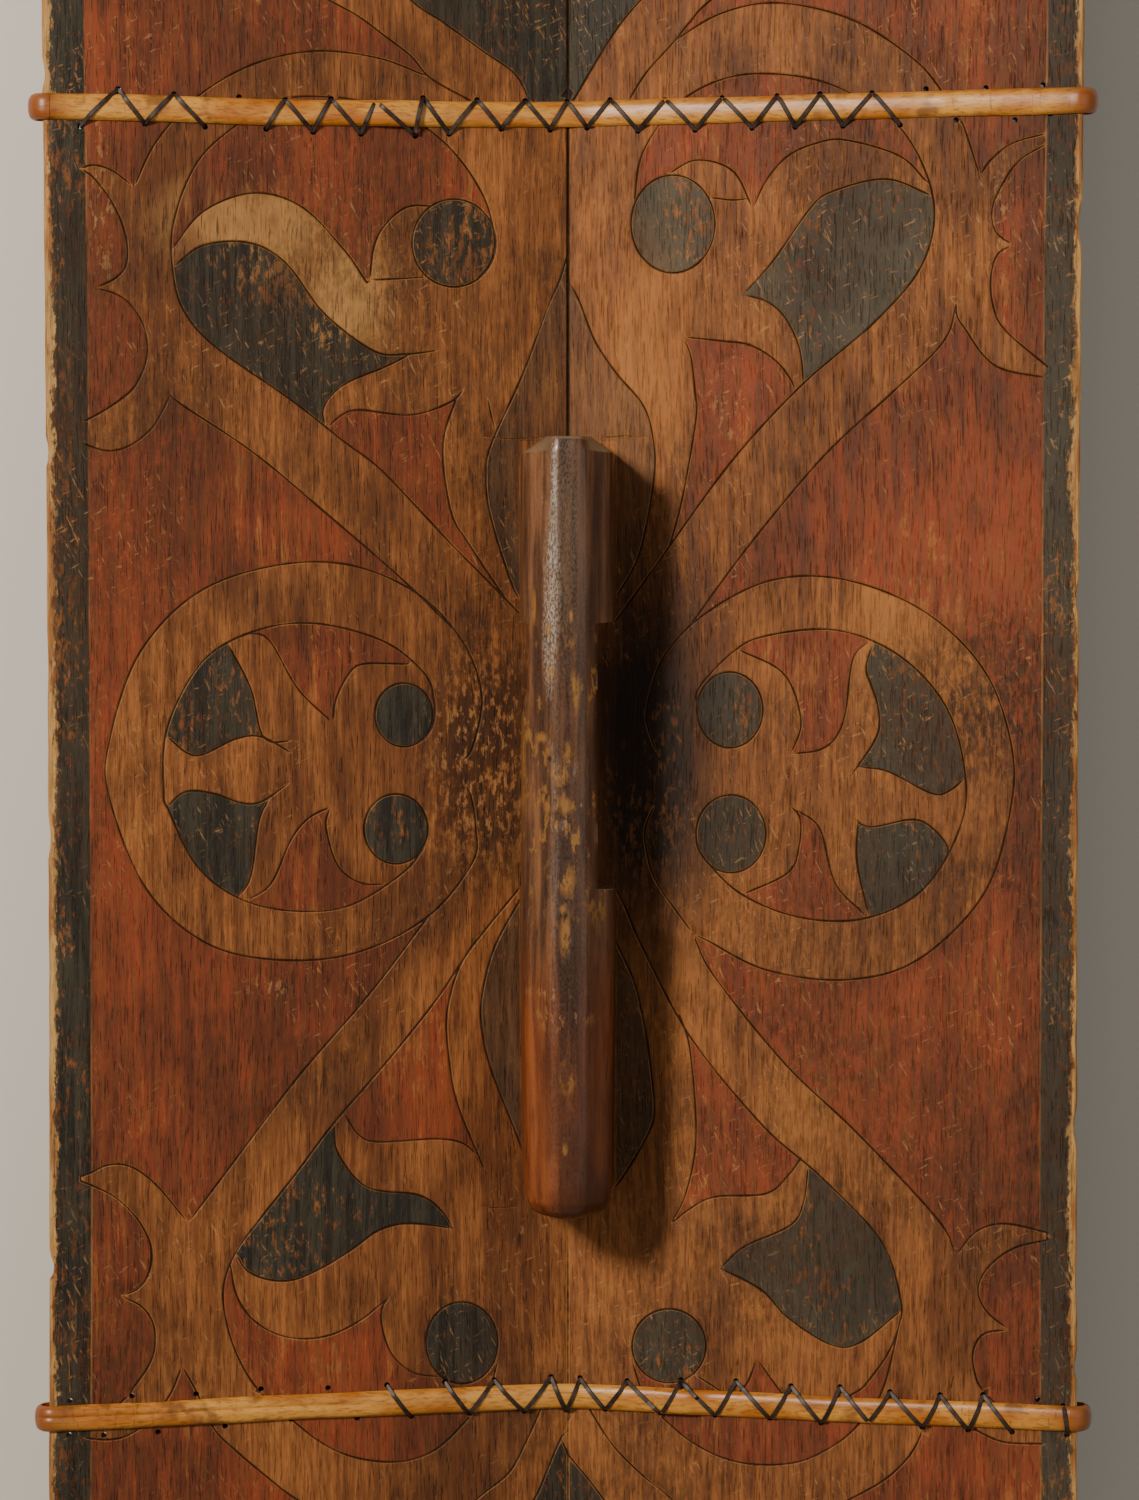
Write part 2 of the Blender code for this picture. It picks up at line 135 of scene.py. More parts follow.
# The incised lines as read from the photo, in its pixels. U and L are the upper and lower half,
# a second L and R the side; what lies beyond the photo's edge is plainer and follows the same run.
lines = {
    "spearUL": [(566, -590), (500, -470), (430, -370), (360, -260), (330, -170), (340, -100), (375, -45),
                (411, 0), (443, 22), (483, 51), (516, 75), (532, 104), (550, 118), (566, 126)],
    "lineUL": [(566, -700), (430, -520), (330, -390), (250, -270), (215, -170), (235, -90), (290, -22),
               (329, 0), (358, 16), (385, 36), (411, 56), (427, 75), (445, 87), (476, 104), (490, 118)],
    "outerArcUL": [(134, 187), (156, 142), (198, 96), (254, 64), (316, 51), (378, 58), (427, 76)],
    "scrollUL": [(476, 280), (491, 262), (494, 233), (482, 193), (451, 149), (410, 117), (375, 104),
                 (331, 97), (280, 100), (234, 127), (196, 164), (173, 225), (174, 280), (187, 316),
                 (218, 349), (291, 400), (342, 440), (378, 467), (414, 504), (454, 547), (483, 576),
                 (524, 618)],
    "crescentUL": [(434, 206), (407, 207), (385, 225), (374, 247), (370, 280)],
    "crescentFootUL": [(370, 280), (393, 279), (427, 277)],
    "leafUL": [(172, 249), (204, 211), (254, 193), (302, 207), (345, 251), (367, 283)],
    "blackLeafUL": [(173, 267), (204, 245), (251, 243), (287, 264), (324, 313), (374, 351), (407, 354),
                    (440, 350)],
    "leafEndUL": [(411, 354), (385, 367), (349, 382), (331, 396), (323, 411), (325, 425)],
    "bandUL": [(171, 391), (178, 402), (254, 453), (327, 514), (403, 580), (457, 633)],
    "patchTopUL": [(327, 428), (342, 415), (360, 410), (411, 415), (451, 402), (465, 387)],
    "patchSideUL": [(458, 394), (443, 445), (451, 511), (469, 544), (509, 604)],
    "tickUL": [(487, 396), (494, 427)],
    "lensUL": [(567, 255), (560, 280), (547, 309), (523, 374), (491, 445), (486, 478), (491, 518),
               (513, 587), (522, 600)],
    "lobeAUL": [(78, 169), (94, 165), (113, 171), (134, 187)],
    "lobeBUL": [(80, 168), (94, 178), (113, 204), (125, 233), (127, 262), (116, 278), (95, 288)],
    "lobeCUL": [(95, 288), (116, 294), (131, 305), (144, 327), (147, 356), (136, 385), (116, 403),
                 (91, 418), (80, 422)],
    "lobeDUL": [(80, 442), (87, 445), (109, 451), (131, 445), (153, 427), (167, 402), (171, 391)],
    "ringL1": [(462, 762), (473, 747), (482, 696), (463, 642), (418, 594), (349, 565), (273, 566),
               (196, 594), (138, 656), (109, 743), (109, 796), (145, 887), (204, 942), (276, 960),
               (356, 953), (429, 916), (473, 862), (476, 829), (471, 796), (462, 782)],
    "ringL2": [(425, 740), (434, 722), (434, 700), (425, 674), (385, 642), (320, 624), (262, 629),
               (204, 660), (167, 729), (164, 798), (167, 807), (196, 865), (238, 898), (291, 911),
               (349, 906), (403, 873), (425, 847)],
    "blackUpL": [(229, 646), (251, 689), (264, 738), (293, 741)],
    "blackLowL": [(168, 738), (196, 756), (236, 739), (262, 737), (293, 754)],
    "blackUp2L": [(167, 807), (185, 792), (211, 793), (254, 804), (291, 782)],
    "blackLow2L": [(269, 799), (259, 822), (251, 876), (238, 898)],
    "redUpL": [(247, 633), (269, 640), (298, 689), (333, 723)],
    "redUp2L": [(333, 723), (336, 700), (349, 674), (364, 664), (407, 664), (412, 661)],
    "redLowL": [(331, 807), (309, 818), (291, 840), (271, 884), (246, 901)],
    "redLow2L": [(331, 807), (326, 820), (327, 833), (334, 858), (345, 874), (364, 884), (385, 884)],
    "bandLL": [(429, 916), (368, 996), (296, 1080), (219, 1182), (188, 1223)],
    "scrollLL": [(524, 883), (473, 946), (440, 995), (405, 1040), (368, 1084), (331, 1127), (295, 1175),
                 (258, 1222), (236, 1252), (224, 1284), (225, 1316), (236, 1353), (254, 1385),
                 (274, 1406), (294, 1422), (320, 1442), (349, 1456), (382, 1462), (411, 1460),
                 (440, 1447), (469, 1418), (486, 1398), (497, 1365)],
    "lensLL": [(526, 893), (518, 904), (494, 949), (482, 996), (482, 1029), (491, 1069), (518, 1138),
               (526, 1156)],
    "leafBandLL": [(477, 938), (458, 971), (447, 1014), (449, 1058), (458, 1105), (485, 1171)],
    "patchLL": [(343, 1111), (358, 1134), (378, 1142), (436, 1139), (462, 1143), (476, 1154)],
    "blackLeafLL": [(334, 1124), (338, 1153), (367, 1187), (418, 1195), (440, 1209), (454, 1229)],
    "blackLeaf2LL": [(454, 1229), (429, 1225), (403, 1224), (378, 1231), (353, 1249), (324, 1267),
                     (294, 1280), (269, 1280), (247, 1271), (236, 1254)],
    "leafLL": [(230, 1262), (236, 1294), (251, 1318), (276, 1334), (305, 1339), (334, 1334), (364, 1318),
               (391, 1295)],
    "leafRunLL": [(391, 1295), (382, 1309), (383, 1331), (393, 1356), (414, 1373), (442, 1377)],
    "lobeALL": [(80, 1177), (91, 1173), (109, 1165), (131, 1167), (156, 1185), (188, 1223)],
    "lobeBLL": [(80, 1181), (95, 1187), (116, 1198), (138, 1220), (151, 1247), (149, 1273), (138, 1289),
                 (120, 1296)],
    "lobeCLL": [(120, 1296), (142, 1307), (154, 1327), (153, 1356), (138, 1382), (115, 1408), (80, 1424)],
    "lobeDLL": [(80, 1437), (105, 1440), (127, 1436), (150, 1420), (170, 1395), (182, 1366)],
    "outerArcLL": [(182, 1366), (197, 1393), (214, 1429), (236, 1451), (262, 1473), (294, 1498),
                   (330, 1518), (370, 1528), (410, 1529), (447, 1526)],
    "lineLL": [(545, 1400), (534, 1425), (527, 1440), (509, 1473), (476, 1500), (400, 1570), (340, 1640),
               (325, 1710), (350, 1800), (420, 1930), (490, 2070), (563, 2216)],
    "spearLL": [(562, 1436), (554, 1454), (545, 1476), (534, 1500), (500, 1550), (455, 1600),
                (430, 1665), (440, 1740), (490, 1860), (530, 1970), (563, 2106)],
    "spearUR": [(566, -590), (635, -470), (690, -370), (745, -270), (765, -180), (740, -110), (690, -50),
                (641, 0), (617, 29), (592, 69), (575, 98), (568, 108)],
    "lineUR": [(566, -700), (685, -520), (770, -390), (830, -290), (868, -200), (850, -130), (790, -60),
               (711, 0), (690, 22), (672, 44), (646, 73), (628, 102)],
    "outerArcUR": [(672, 42), (722, 13), (780, 3), (853, 20), (915, 60), (944, 94), (962, 122), (980, 176)],
    "scrollUR": [(634, 203), (643, 152), (679, 103), (730, 77), (788, 75), (842, 89), (900, 127),
                 (933, 196), (924, 261), (878, 319), (802, 385), (733, 460), (664, 554), (612, 626)],
    "smallScrollUR": [(668, 174), (697, 160), (733, 171), (753, 209)],
    "tickUR": [(715, 198), (733, 200), (751, 198)],
    "leafUR": [(753, 209), (766, 181), (788, 156), (817, 143), (846, 140), (900, 156), (928, 183)],
    "blackLeafUR": [(743, 295), (773, 261), (809, 210), (831, 192), (886, 179), (933, 196)],
    "leafEndUR": [(743, 295), (766, 301), (784, 316), (797, 341), (802, 363), (803, 385)],
    "patchTopUR": [(683, 337), (722, 341), (750, 345), (775, 360), (790, 378), (796, 392)],
    "patchSideUR": [(683, 337), (689, 350), (692, 363), (695, 392), (696, 419), (682, 500), (668, 551)],
    "lensUR": [(571, 285), (575, 292), (581, 305), (595, 341), (617, 374), (643, 405), (653, 438),
               (654, 478), (639, 554), (614, 600)],
    "bandUR": [(957, 300), (944, 341), (893, 392), (824, 456), (748, 547), (695, 619), (682, 634)],
    "lobeAUR": [(980, 176), (991, 160), (1013, 143), (1048, 133)],
    "lobeBUR": [(1048, 143), (1020, 160), (1002, 185), (992, 210), (996, 232), (1013, 245)],
    "lobeCUR": [(1013, 245), (998, 254), (991, 276), (993, 305), (1005, 330), (1048, 367)],
    "lobeDUR": [(957, 300), (957, 316), (966, 330), (984, 356), (1005, 370), (1048, 378)],
    "ringR1": [(657, 754), (648, 728), (647, 706), (664, 656), (708, 612), (773, 580), (846, 580),
               (925, 612), (984, 670), (1011, 743), (1011, 807), (984, 894), (918, 960), (846, 980),
               (766, 970), (708, 941), (693, 934)],
    "ringR3": [(655, 804), (645, 829), (647, 854), (657, 883), (693, 934)],
    "ringR2": [(697, 707), (699, 688), (733, 652), (766, 636), (835, 630), (897, 654), (944, 703),
               (964, 765), (962, 822), (926, 887), (868, 918), (802, 918), (741, 894), (701, 854),
               (696, 833)],
    "arcUpR": [(737, 649), (784, 674), (801, 721), (791, 754)],
    "redSideR": [(872, 639), (853, 659), (846, 710), (837, 736), (820, 750), (791, 754)],
    "arcLowR": [(788, 804), (800, 818), (799, 847), (788, 873), (742, 895)],
    "redLowR": [(797, 810), (820, 829), (835, 883), (862, 912), (866, 918)],
    "blackUpR": [(874, 641), (866, 667), (871, 685), (878, 707), (877, 736), (849, 779)],
    "blackUp2R": [(855, 766), (868, 768), (889, 772), (933, 794), (951, 790), (965, 778)],
    "blackLowR": [(853, 818), (871, 827), (918, 820), (946, 843), (947, 858)],
    "blackLow2R": [(858, 822), (857, 862), (868, 912), (870, 918)],
    "scrollLR": [(612, 884), (623, 903), (643, 949), (691, 1038), (763, 1126), (821, 1177), (881, 1241),
                 (901, 1301), (898, 1330), (882, 1392), (860, 1423), (838, 1443), (802, 1461), (762, 1465),
                 (726, 1459), (693, 1443), (666, 1421), (645, 1398), (633, 1365)],
    "bandLR": [(693, 934), (714, 976), (785, 1064), (857, 1133), (938, 1220), (956, 1256)],
    "lensLR": [(612, 935), (622, 955), (635, 985), (645, 1030), (652, 1080), (654, 1115), (645, 1140),
               (622, 1178), (612, 1190)],
    "leafBandLR": [(679, 1014), (690, 1050), (696, 1137), (686, 1193), (670, 1225)],
    "patchLR": [(670, 1225), (690, 1209), (715, 1197), (766, 1194), (788, 1176), (804, 1154)],
    "blackLeafLR": [(808, 1167), (804, 1200), (791, 1225), (744, 1247), (720, 1269)],
    "blackLeaf2LR": [(720, 1269), (744, 1280), (766, 1294), (788, 1318), (831, 1345), (860, 1343),
                     (902, 1310)],
    "leafLR": [(900, 1323), (889, 1352), (871, 1378), (857, 1392), (820, 1408), (790, 1400), (777, 1387),
               (757, 1359)],
    "leafRunLR": [(757, 1359), (746, 1385), (730, 1395), (700, 1378)],
    "lobeALR": [(956, 1256), (976, 1232), (1005, 1224), (1048, 1233)],
    "lobeBLR": [(1048, 1240), (1013, 1249), (987, 1269), (978, 1291), (987, 1312), (1009, 1330)],
    "lobeCLR": [(1009, 1330), (984, 1334), (973, 1352), (975, 1374), (982, 1389), (1005, 1410),
                 (1048, 1421)],
    "lobeDLR": [(1048, 1444), (1009, 1443), (987, 1436), (962, 1420), (945, 1398)],
    "outerArcLR": [(945, 1398), (935, 1412), (924, 1428), (911, 1454), (886, 1479), (849, 1500),
                   (810, 1518), (760, 1529), (703, 1531)],
    "lineLR": [(585, 1400), (594, 1417), (614, 1447), (643, 1476), (672, 1500), (740, 1570), (800, 1640),
               (815, 1710), (790, 1800), (720, 1930), (640, 2070), (563, 2216)],
    "spearLR": [(564, 1445), (570, 1457), (588, 1479), (604, 1500), (640, 1550), (685, 1600), (708, 1665),
                (698, 1740), (640, 1860), (600, 1970), (563, 2106)],
}
# discs: middle and half axes
discs = {"discUL": (454, 243, 42, 44), "discUR": (673, 224, 42, 49), "discL1": (404, 715, 29, 32),
         "discL2": (396, 829, 32, 35), "discR1": (730, 710, 33, 38), "discR2": (731, 834, 35, 39),
         "discLL": (462, 1343, 36, 41), "discLR": (669, 1346, 37, 37)}
# a point inside every painted field; all other fields are bare wood
fields = {
    "black": [(520, 30), (590, 30), (250, 320), (515, 470), (630, 470), (850, 250), (200, 700),
              (215, 840), (910, 720), (900, 870), (300, 1210), (850, 1270), (500, 1030), (635, 1050),
              (552, 1490), (580, 1490), (66, 600), (1060, 600)] + [disc[:2] for disc in discs.values()],
    "red": [(200, 40), (300, 160), (100, 230), (110, 340), (200, 480), (390, 450), (320, 660),
            (300, 880), (200, 1050), (410, 1080), (110, 1240), (120, 1350), (300, 1360), (140, 1470),
            (1000, 60), (750, 120), (1030, 200), (1020, 300), (1000, 480), (730, 400), (820, 680),
            (800, 870), (1000, 1050), (740, 1120), (1020, 1290), (1015, 1370), (766, 1440),
            (1000, 1480)],
}
outerLines = ["spearUL", "lineUL", "spearUR", "lineUR", "spearLL", "lineLL", "spearLR", "lineLR",
              "outerArcUL", "outerArcUR", "scrollUL", "scrollUR", "scrollLL", "scrollLR", "outerArcLL",
              "outerArcLR"]
outerFields = {"black": [(520, 30), (590, 30), (520, 1677), (625, 1677), (66, 600), (1060, 600)],
               "red": [(300, 160), (750, 120), (300, 1360), (766, 1440), (392, 1677), (756, 1677)]}
# knife lines and cracks beside the ornament
cracks = [[(480, 1207), (496, 1208), (520, 1207)], [(480, 437), (510, 439), (545, 438)],
          [(600, 438), (625, 436), (650, 438)], [(650, 500), (668, 490)], [(510, 1120), (517, 1160)],
          [(950, 1394), (955, 1370)], [(104, 1400), (106, 1378)], [(660, 1374), (664, 1348)],
          [(736, 1372), (740, 1352)], [(70, 1396), (68, 1352)]]


def smoothThrough(points, closed=False):
    count = len(points)
    dense = []
    for i in range(count if closed else count - 1):
        first, second = Vector(points[i]), Vector(points[(i + 1) % count])
        before = Vector(points[i - 1]) if closed or i else 2 * first - second
        after = Vector(points[(i + 2) % count]) if closed or i + 2 < count else 2 * second - first
        for step in range(10):
            t = step / 10
            dense.append(0.5 * (2 * first + (second - before) * t
                                + (2 * before - 5 * first + 4 * second - after) * t * t
                                + (3 * first - before - 3 * second + after) * t ** 3))
    dense.append(Vector(points[0] if closed else points[-1]))
    return dense


def evenSteps(points, spacing):
    lengths = [0.0]
    for first, second in zip(points, points[1:]):
        lengths.append(lengths[-1] + (second - first).length)
    count = max(1, round(lengths[-1] / spacing))
    places = []
    at = 0
    for step in range(count + 1):
        target = lengths[-1] * step / count
        while at < len(points) - 2 and lengths[at + 1] < target:
            at += 1
        share = (target - lengths[at]) / max(lengths[at + 1] - lengths[at], 1e-9)
        places.append(points[at].lerp(points[at + 1], min(share, 1.0)))
    return places


linePaths = {name: smoothThrough(points) for name, points in lines.items()}
for name, (cx, cy, rx, ry) in discs.items():
    ring = [(cx + rx * math.cos(math.tau * i / 24), cy + ry * math.sin(math.tau * i / 24)) for i in range(24)]
    linePaths[name] = smoothThrough(ring, closed=True)
onFace = {name: evenSteps([Vector(onBoard(*place)) for place in path], groove["step"])
          for name, path in linePaths.items()}


# Ends that stop just short of another line are carried on to it and a hair past it, as the knife did
def carryOn(runs, others, reach):
    segments = []
    for name, run in list(runs.items()) + list(others.items()):
        segments += [(first, second, name) for first, second in zip(run, run[1:])]
    tree = kdtree.KDTree(len(segments))
    for i, (first, second, name) in enumerate(segments):
        middle = (first + second) / 2
        tree.insert((middle.x, middle.y, 0), i)
    tree.balance()
    tips = [(run[end].copy(), name) for name, run in runs.items() for end in (0, -1)]
    for name, run in runs.items():
        if name in discs:
            continue
        for end in (0, -1):
            tip = run[end].copy()
            if any((place - tip).length < 1e-6 and other != name for place, other in tips):
                continue
            inner = run[1 if end == 0 else -2]
            onward = (tip - inner).normalized()
            near = [segments[number] for place, number, away in
                    tree.find_range((tip.x, tip.y, 0), reach + groove["step"]) if segments[number][2] != name]
            if any(intersect_line_line_2d(inner, tip, first, second) for first, second, other in near):
                continue
            best = None
            for turn in (0, 15, -15, 30, -30, 50, -50, 70, -70, 90, -90):
                way = Matrix.Rotation(math.radians(turn), 2) @ onward
                for first, second, other in near:
                    hit = intersect_line_line_2d(tip, tip + way * reach, first, second)
                    if hit:
                        length = (hit - tip).length
                        cost = length * (1 + abs(turn) / 60)
                        if best is None or cost < best[0]:
                            best = (cost, tip + way * (length + 0.0003))
            if best:
                run.insert(0 if end == 0 else len(run), best[1])


# Board outline, from the lower point up the right side and down the left
def boardOutline():
    taper = math.atan2(board["halfWidth"], board["tipY"] - board["tipRadius"] - board["shoulderY"])
    radius = board["tipRadius"]
    tipMiddle = board["tipY"] - radius
    turns = sorted([i / 5 * (math.pi / 2 - taper) for i in range(-5, 6)] + [math.asin(creaseX / radius)])
    upper = [Vector((radius * math.sin(turn), tipMiddle + radius * math.cos(turn))) for turn in turns]
    lower = [Vector((place.x, -place.y)) for place in upper]
    shoulder = board["shoulderY"]
    sideSteps = round(2 * shoulder / board["outlineStep"])
    rightSide = [Vector((sideX(y), y)) for y in np.linspace(-shoulder, shoulder, sideSteps)]
    leftSide = [Vector((-place.x, place.y)) for place in reversed(rightSide)]
    corners = [lower, [lower[-1], rightSide[0]], rightSide, [rightSide[-1], upper[-1]], upper[::-1],
               [upper[0], leftSide[0]], leftSide, [leftSide[-1], lower[0]]]
    outline = []
    for run in corners:
        places = evenSteps(run, board["outlineStep"]) if len(run) == 2 else run
        outline += [place for place in places if not outline or (place - outline[-1]).length > 1e-6]
    outline.pop()
    return outline


outline = boardOutline()
outlineNormals = []
for i, place in enumerate(outline):
    along = outline[(i + 1) % len(outline)] - outline[i - 1]
    outlineNormals.append(Vector((along.y, -along.x)).normalized())

# wear of the edges: small waves, and a few chips, each with its middle, half length and depth
edgeChips = [(-0.199, -0.197, 0.005, 0.0018), (-0.199, 0.118, 0.006, 0.0009), (0.199, 0.205, 0.009, 0.0012),
             (0.199, 0.062, 0.006, 0.0009), (-0.199, -0.031, 0.008, 0.0008), (0.199, -0.142, 0.007, 0.0011),
             (0.199, -0.236, 0.005, 0.0010), (-0.199, 0.262, 0.005, 0.0010), (0.070, 0.531, 0.010, 0.0016),
             (-0.120, -0.451, 0.012, 0.0015)]
worn = []
for place, normal in zip(outline, outlineNormals):
    depth = board["edgeWear"] * max(0.0, noise.noise((place.x * 30, place.y * 42, 3.0)) + 0.25)
    for x, y, half, chip in edgeChips:
        away = (place - Vector((x, y))).length / half
        depth += chip * max(0.0, 1 - away * away)
    worn.append(depth)
edgeTree = kdtree.KDTree(len(outline))
for i, place in enumerate(outline):
    edgeTree.insert((place.x, place.y, 0), i)
edgeTree.balance()

# Lacing holes, by run, as read from the photo
stitchRuns = {
    "upper_lacing_left": [(80, 126), (118, 89), (145, 124), (174, 94), (205, 127)],
    "upper_lacing_main": [
        (266, 129), (285, 100), (313, 132), (331, 99), (361, 134), (376, 102), (415, 136), (423, 98),
        (449, 134), (477, 100), (501, 129), (525, 101), (550, 130), (567, 102), (587, 128), (610, 100),
        (638, 131), (665, 100), (695, 130), (722, 98), (752, 128), (777, 96), (795, 127), (820, 94),
        (843, 126), (872, 93), (900, 125)],
    "lower_lacing_left": [(387, 1385), (411, 1416)],
    "lower_lacing_main": [
        (445, 1382), (469, 1413), (494, 1380), (524, 1411), (551, 1377), (566, 1410), (580, 1378),
        (605, 1409), (627, 1381), (661, 1412), (681, 1380), (715, 1415), (736, 1381), (770, 1418),
        (791, 1386), (821, 1423), (840, 1387), (868, 1421), (890, 1392), (922, 1427), (940, 1395),
        (968, 1430), (983, 1395), (1012, 1432)],
    "lower_lacing_right": [(1063, 1406), (1067, 1435)],
}
emptyHoles = [(239, 97), (926, 89), (956, 120), (986, 88), (1015, 120), (1043, 85), (1050, 114),
              (70, 1401), (132, 1396), (196, 1394), (261, 1389), (328, 1388), (69, 1435), (104, 1435),
              (158, 1432), (225, 1426), (291, 1419), (357, 1418), (1038, 1400)]
stitchPlaces = {name: [Vector(onBoard(*place)) for place in run] for name, run in stitchRuns.items()}
holePlaces = [place for run in stitchPlaces.values() for place in run]
holePlaces += [Vector(onBoard(*place)) for place in emptyHoles]
random.seed(7)
crackPaths = [[Vector(onBoard(*place)) for place in crack] for crack in cracks]
for place in holePlaces:
    if random.random() < 0.55:
        way = 1 if random.random() < 0.5 else -1
        start = place + Vector((random.uniform(-0.0004, 0.0004), way * 0.0015))
        crackPaths.append([start, start + Vector((random.uniform(-0.0004, 0.0004),
                                                  way * random.uniform(0.002, 0.007)))])


def holeLoop(place):
    corners = board["holeCorners"]
    return [place + board["holeRadius"] * Vector((math.cos(math.tau * i / corners),
                                                  math.sin(math.tau * i / corners)))
            for i in range(corners)]


# The border lines run along the outline; they meet on the crease near the points
def borderPath(side, inset):
    shoulder = board["shoulderY"]
    slope = math.atan2(board["halfWidth"], board["tipY"] - shoulder)
    tip = board["tipY"] - inset / math.sin(slope) - creaseX / math.tan(slope)
    corner = shoulder - inset * (1 - math.cos(slope)) / math.sin(slope) * 0.5
    inwards = [side * (sideX(y) - inset) for y in (-corner, 0, corner)]
    return [Vector((creaseX, -tip)), Vector((inwards[0], -corner)), Vector((inwards[1], -0.17)),
            Vector((inwards[1], 0.17)), Vector((inwards[2], corner)), Vector((creaseX, tip))]


borders = {"leftBorder": borderPath(-1, board["leftBorder"]),
           "rightBorder": borderPath(1, board["rightBorder"])}
crease = [Vector((creaseX, y)) for y in np.linspace(-board["tipY"], board["tipY"], 9)]
crease[0] = min(outline, key=lambda place: (place - Vector((creaseX, -board["tipY"]))).length)
crease[-1] = min(outline, key=lambda place: (place - Vector((creaseX, board["tipY"]))).length)


def outside(first, second, third, rim):
    middle = (first + second + third) / 3
    crossings = 0
    for a, b in zip(rim, rim[1:] + rim[:1]):
        if (a.y > middle.y) != (b.y > middle.y):
            crossings += a.x + (middle.y - a.y) / (b.y - a.y) * (b.x - a.x) > middle.x
    return crossings % 2 == 0


for name, path in borders.items():
    borders[name] = evenSteps(path, groove["step"])
creaseLine = evenSteps([Vector((creaseX, -0.6)), Vector((creaseX, 0.6))], groove["step"])
carryOn(onFace, {"crease": creaseLine, **borders}, groove["reach"])
crackPaths = [evenSteps(path, 0.0016) for path in crackPaths]
print("ornament lines:", len(onFace))


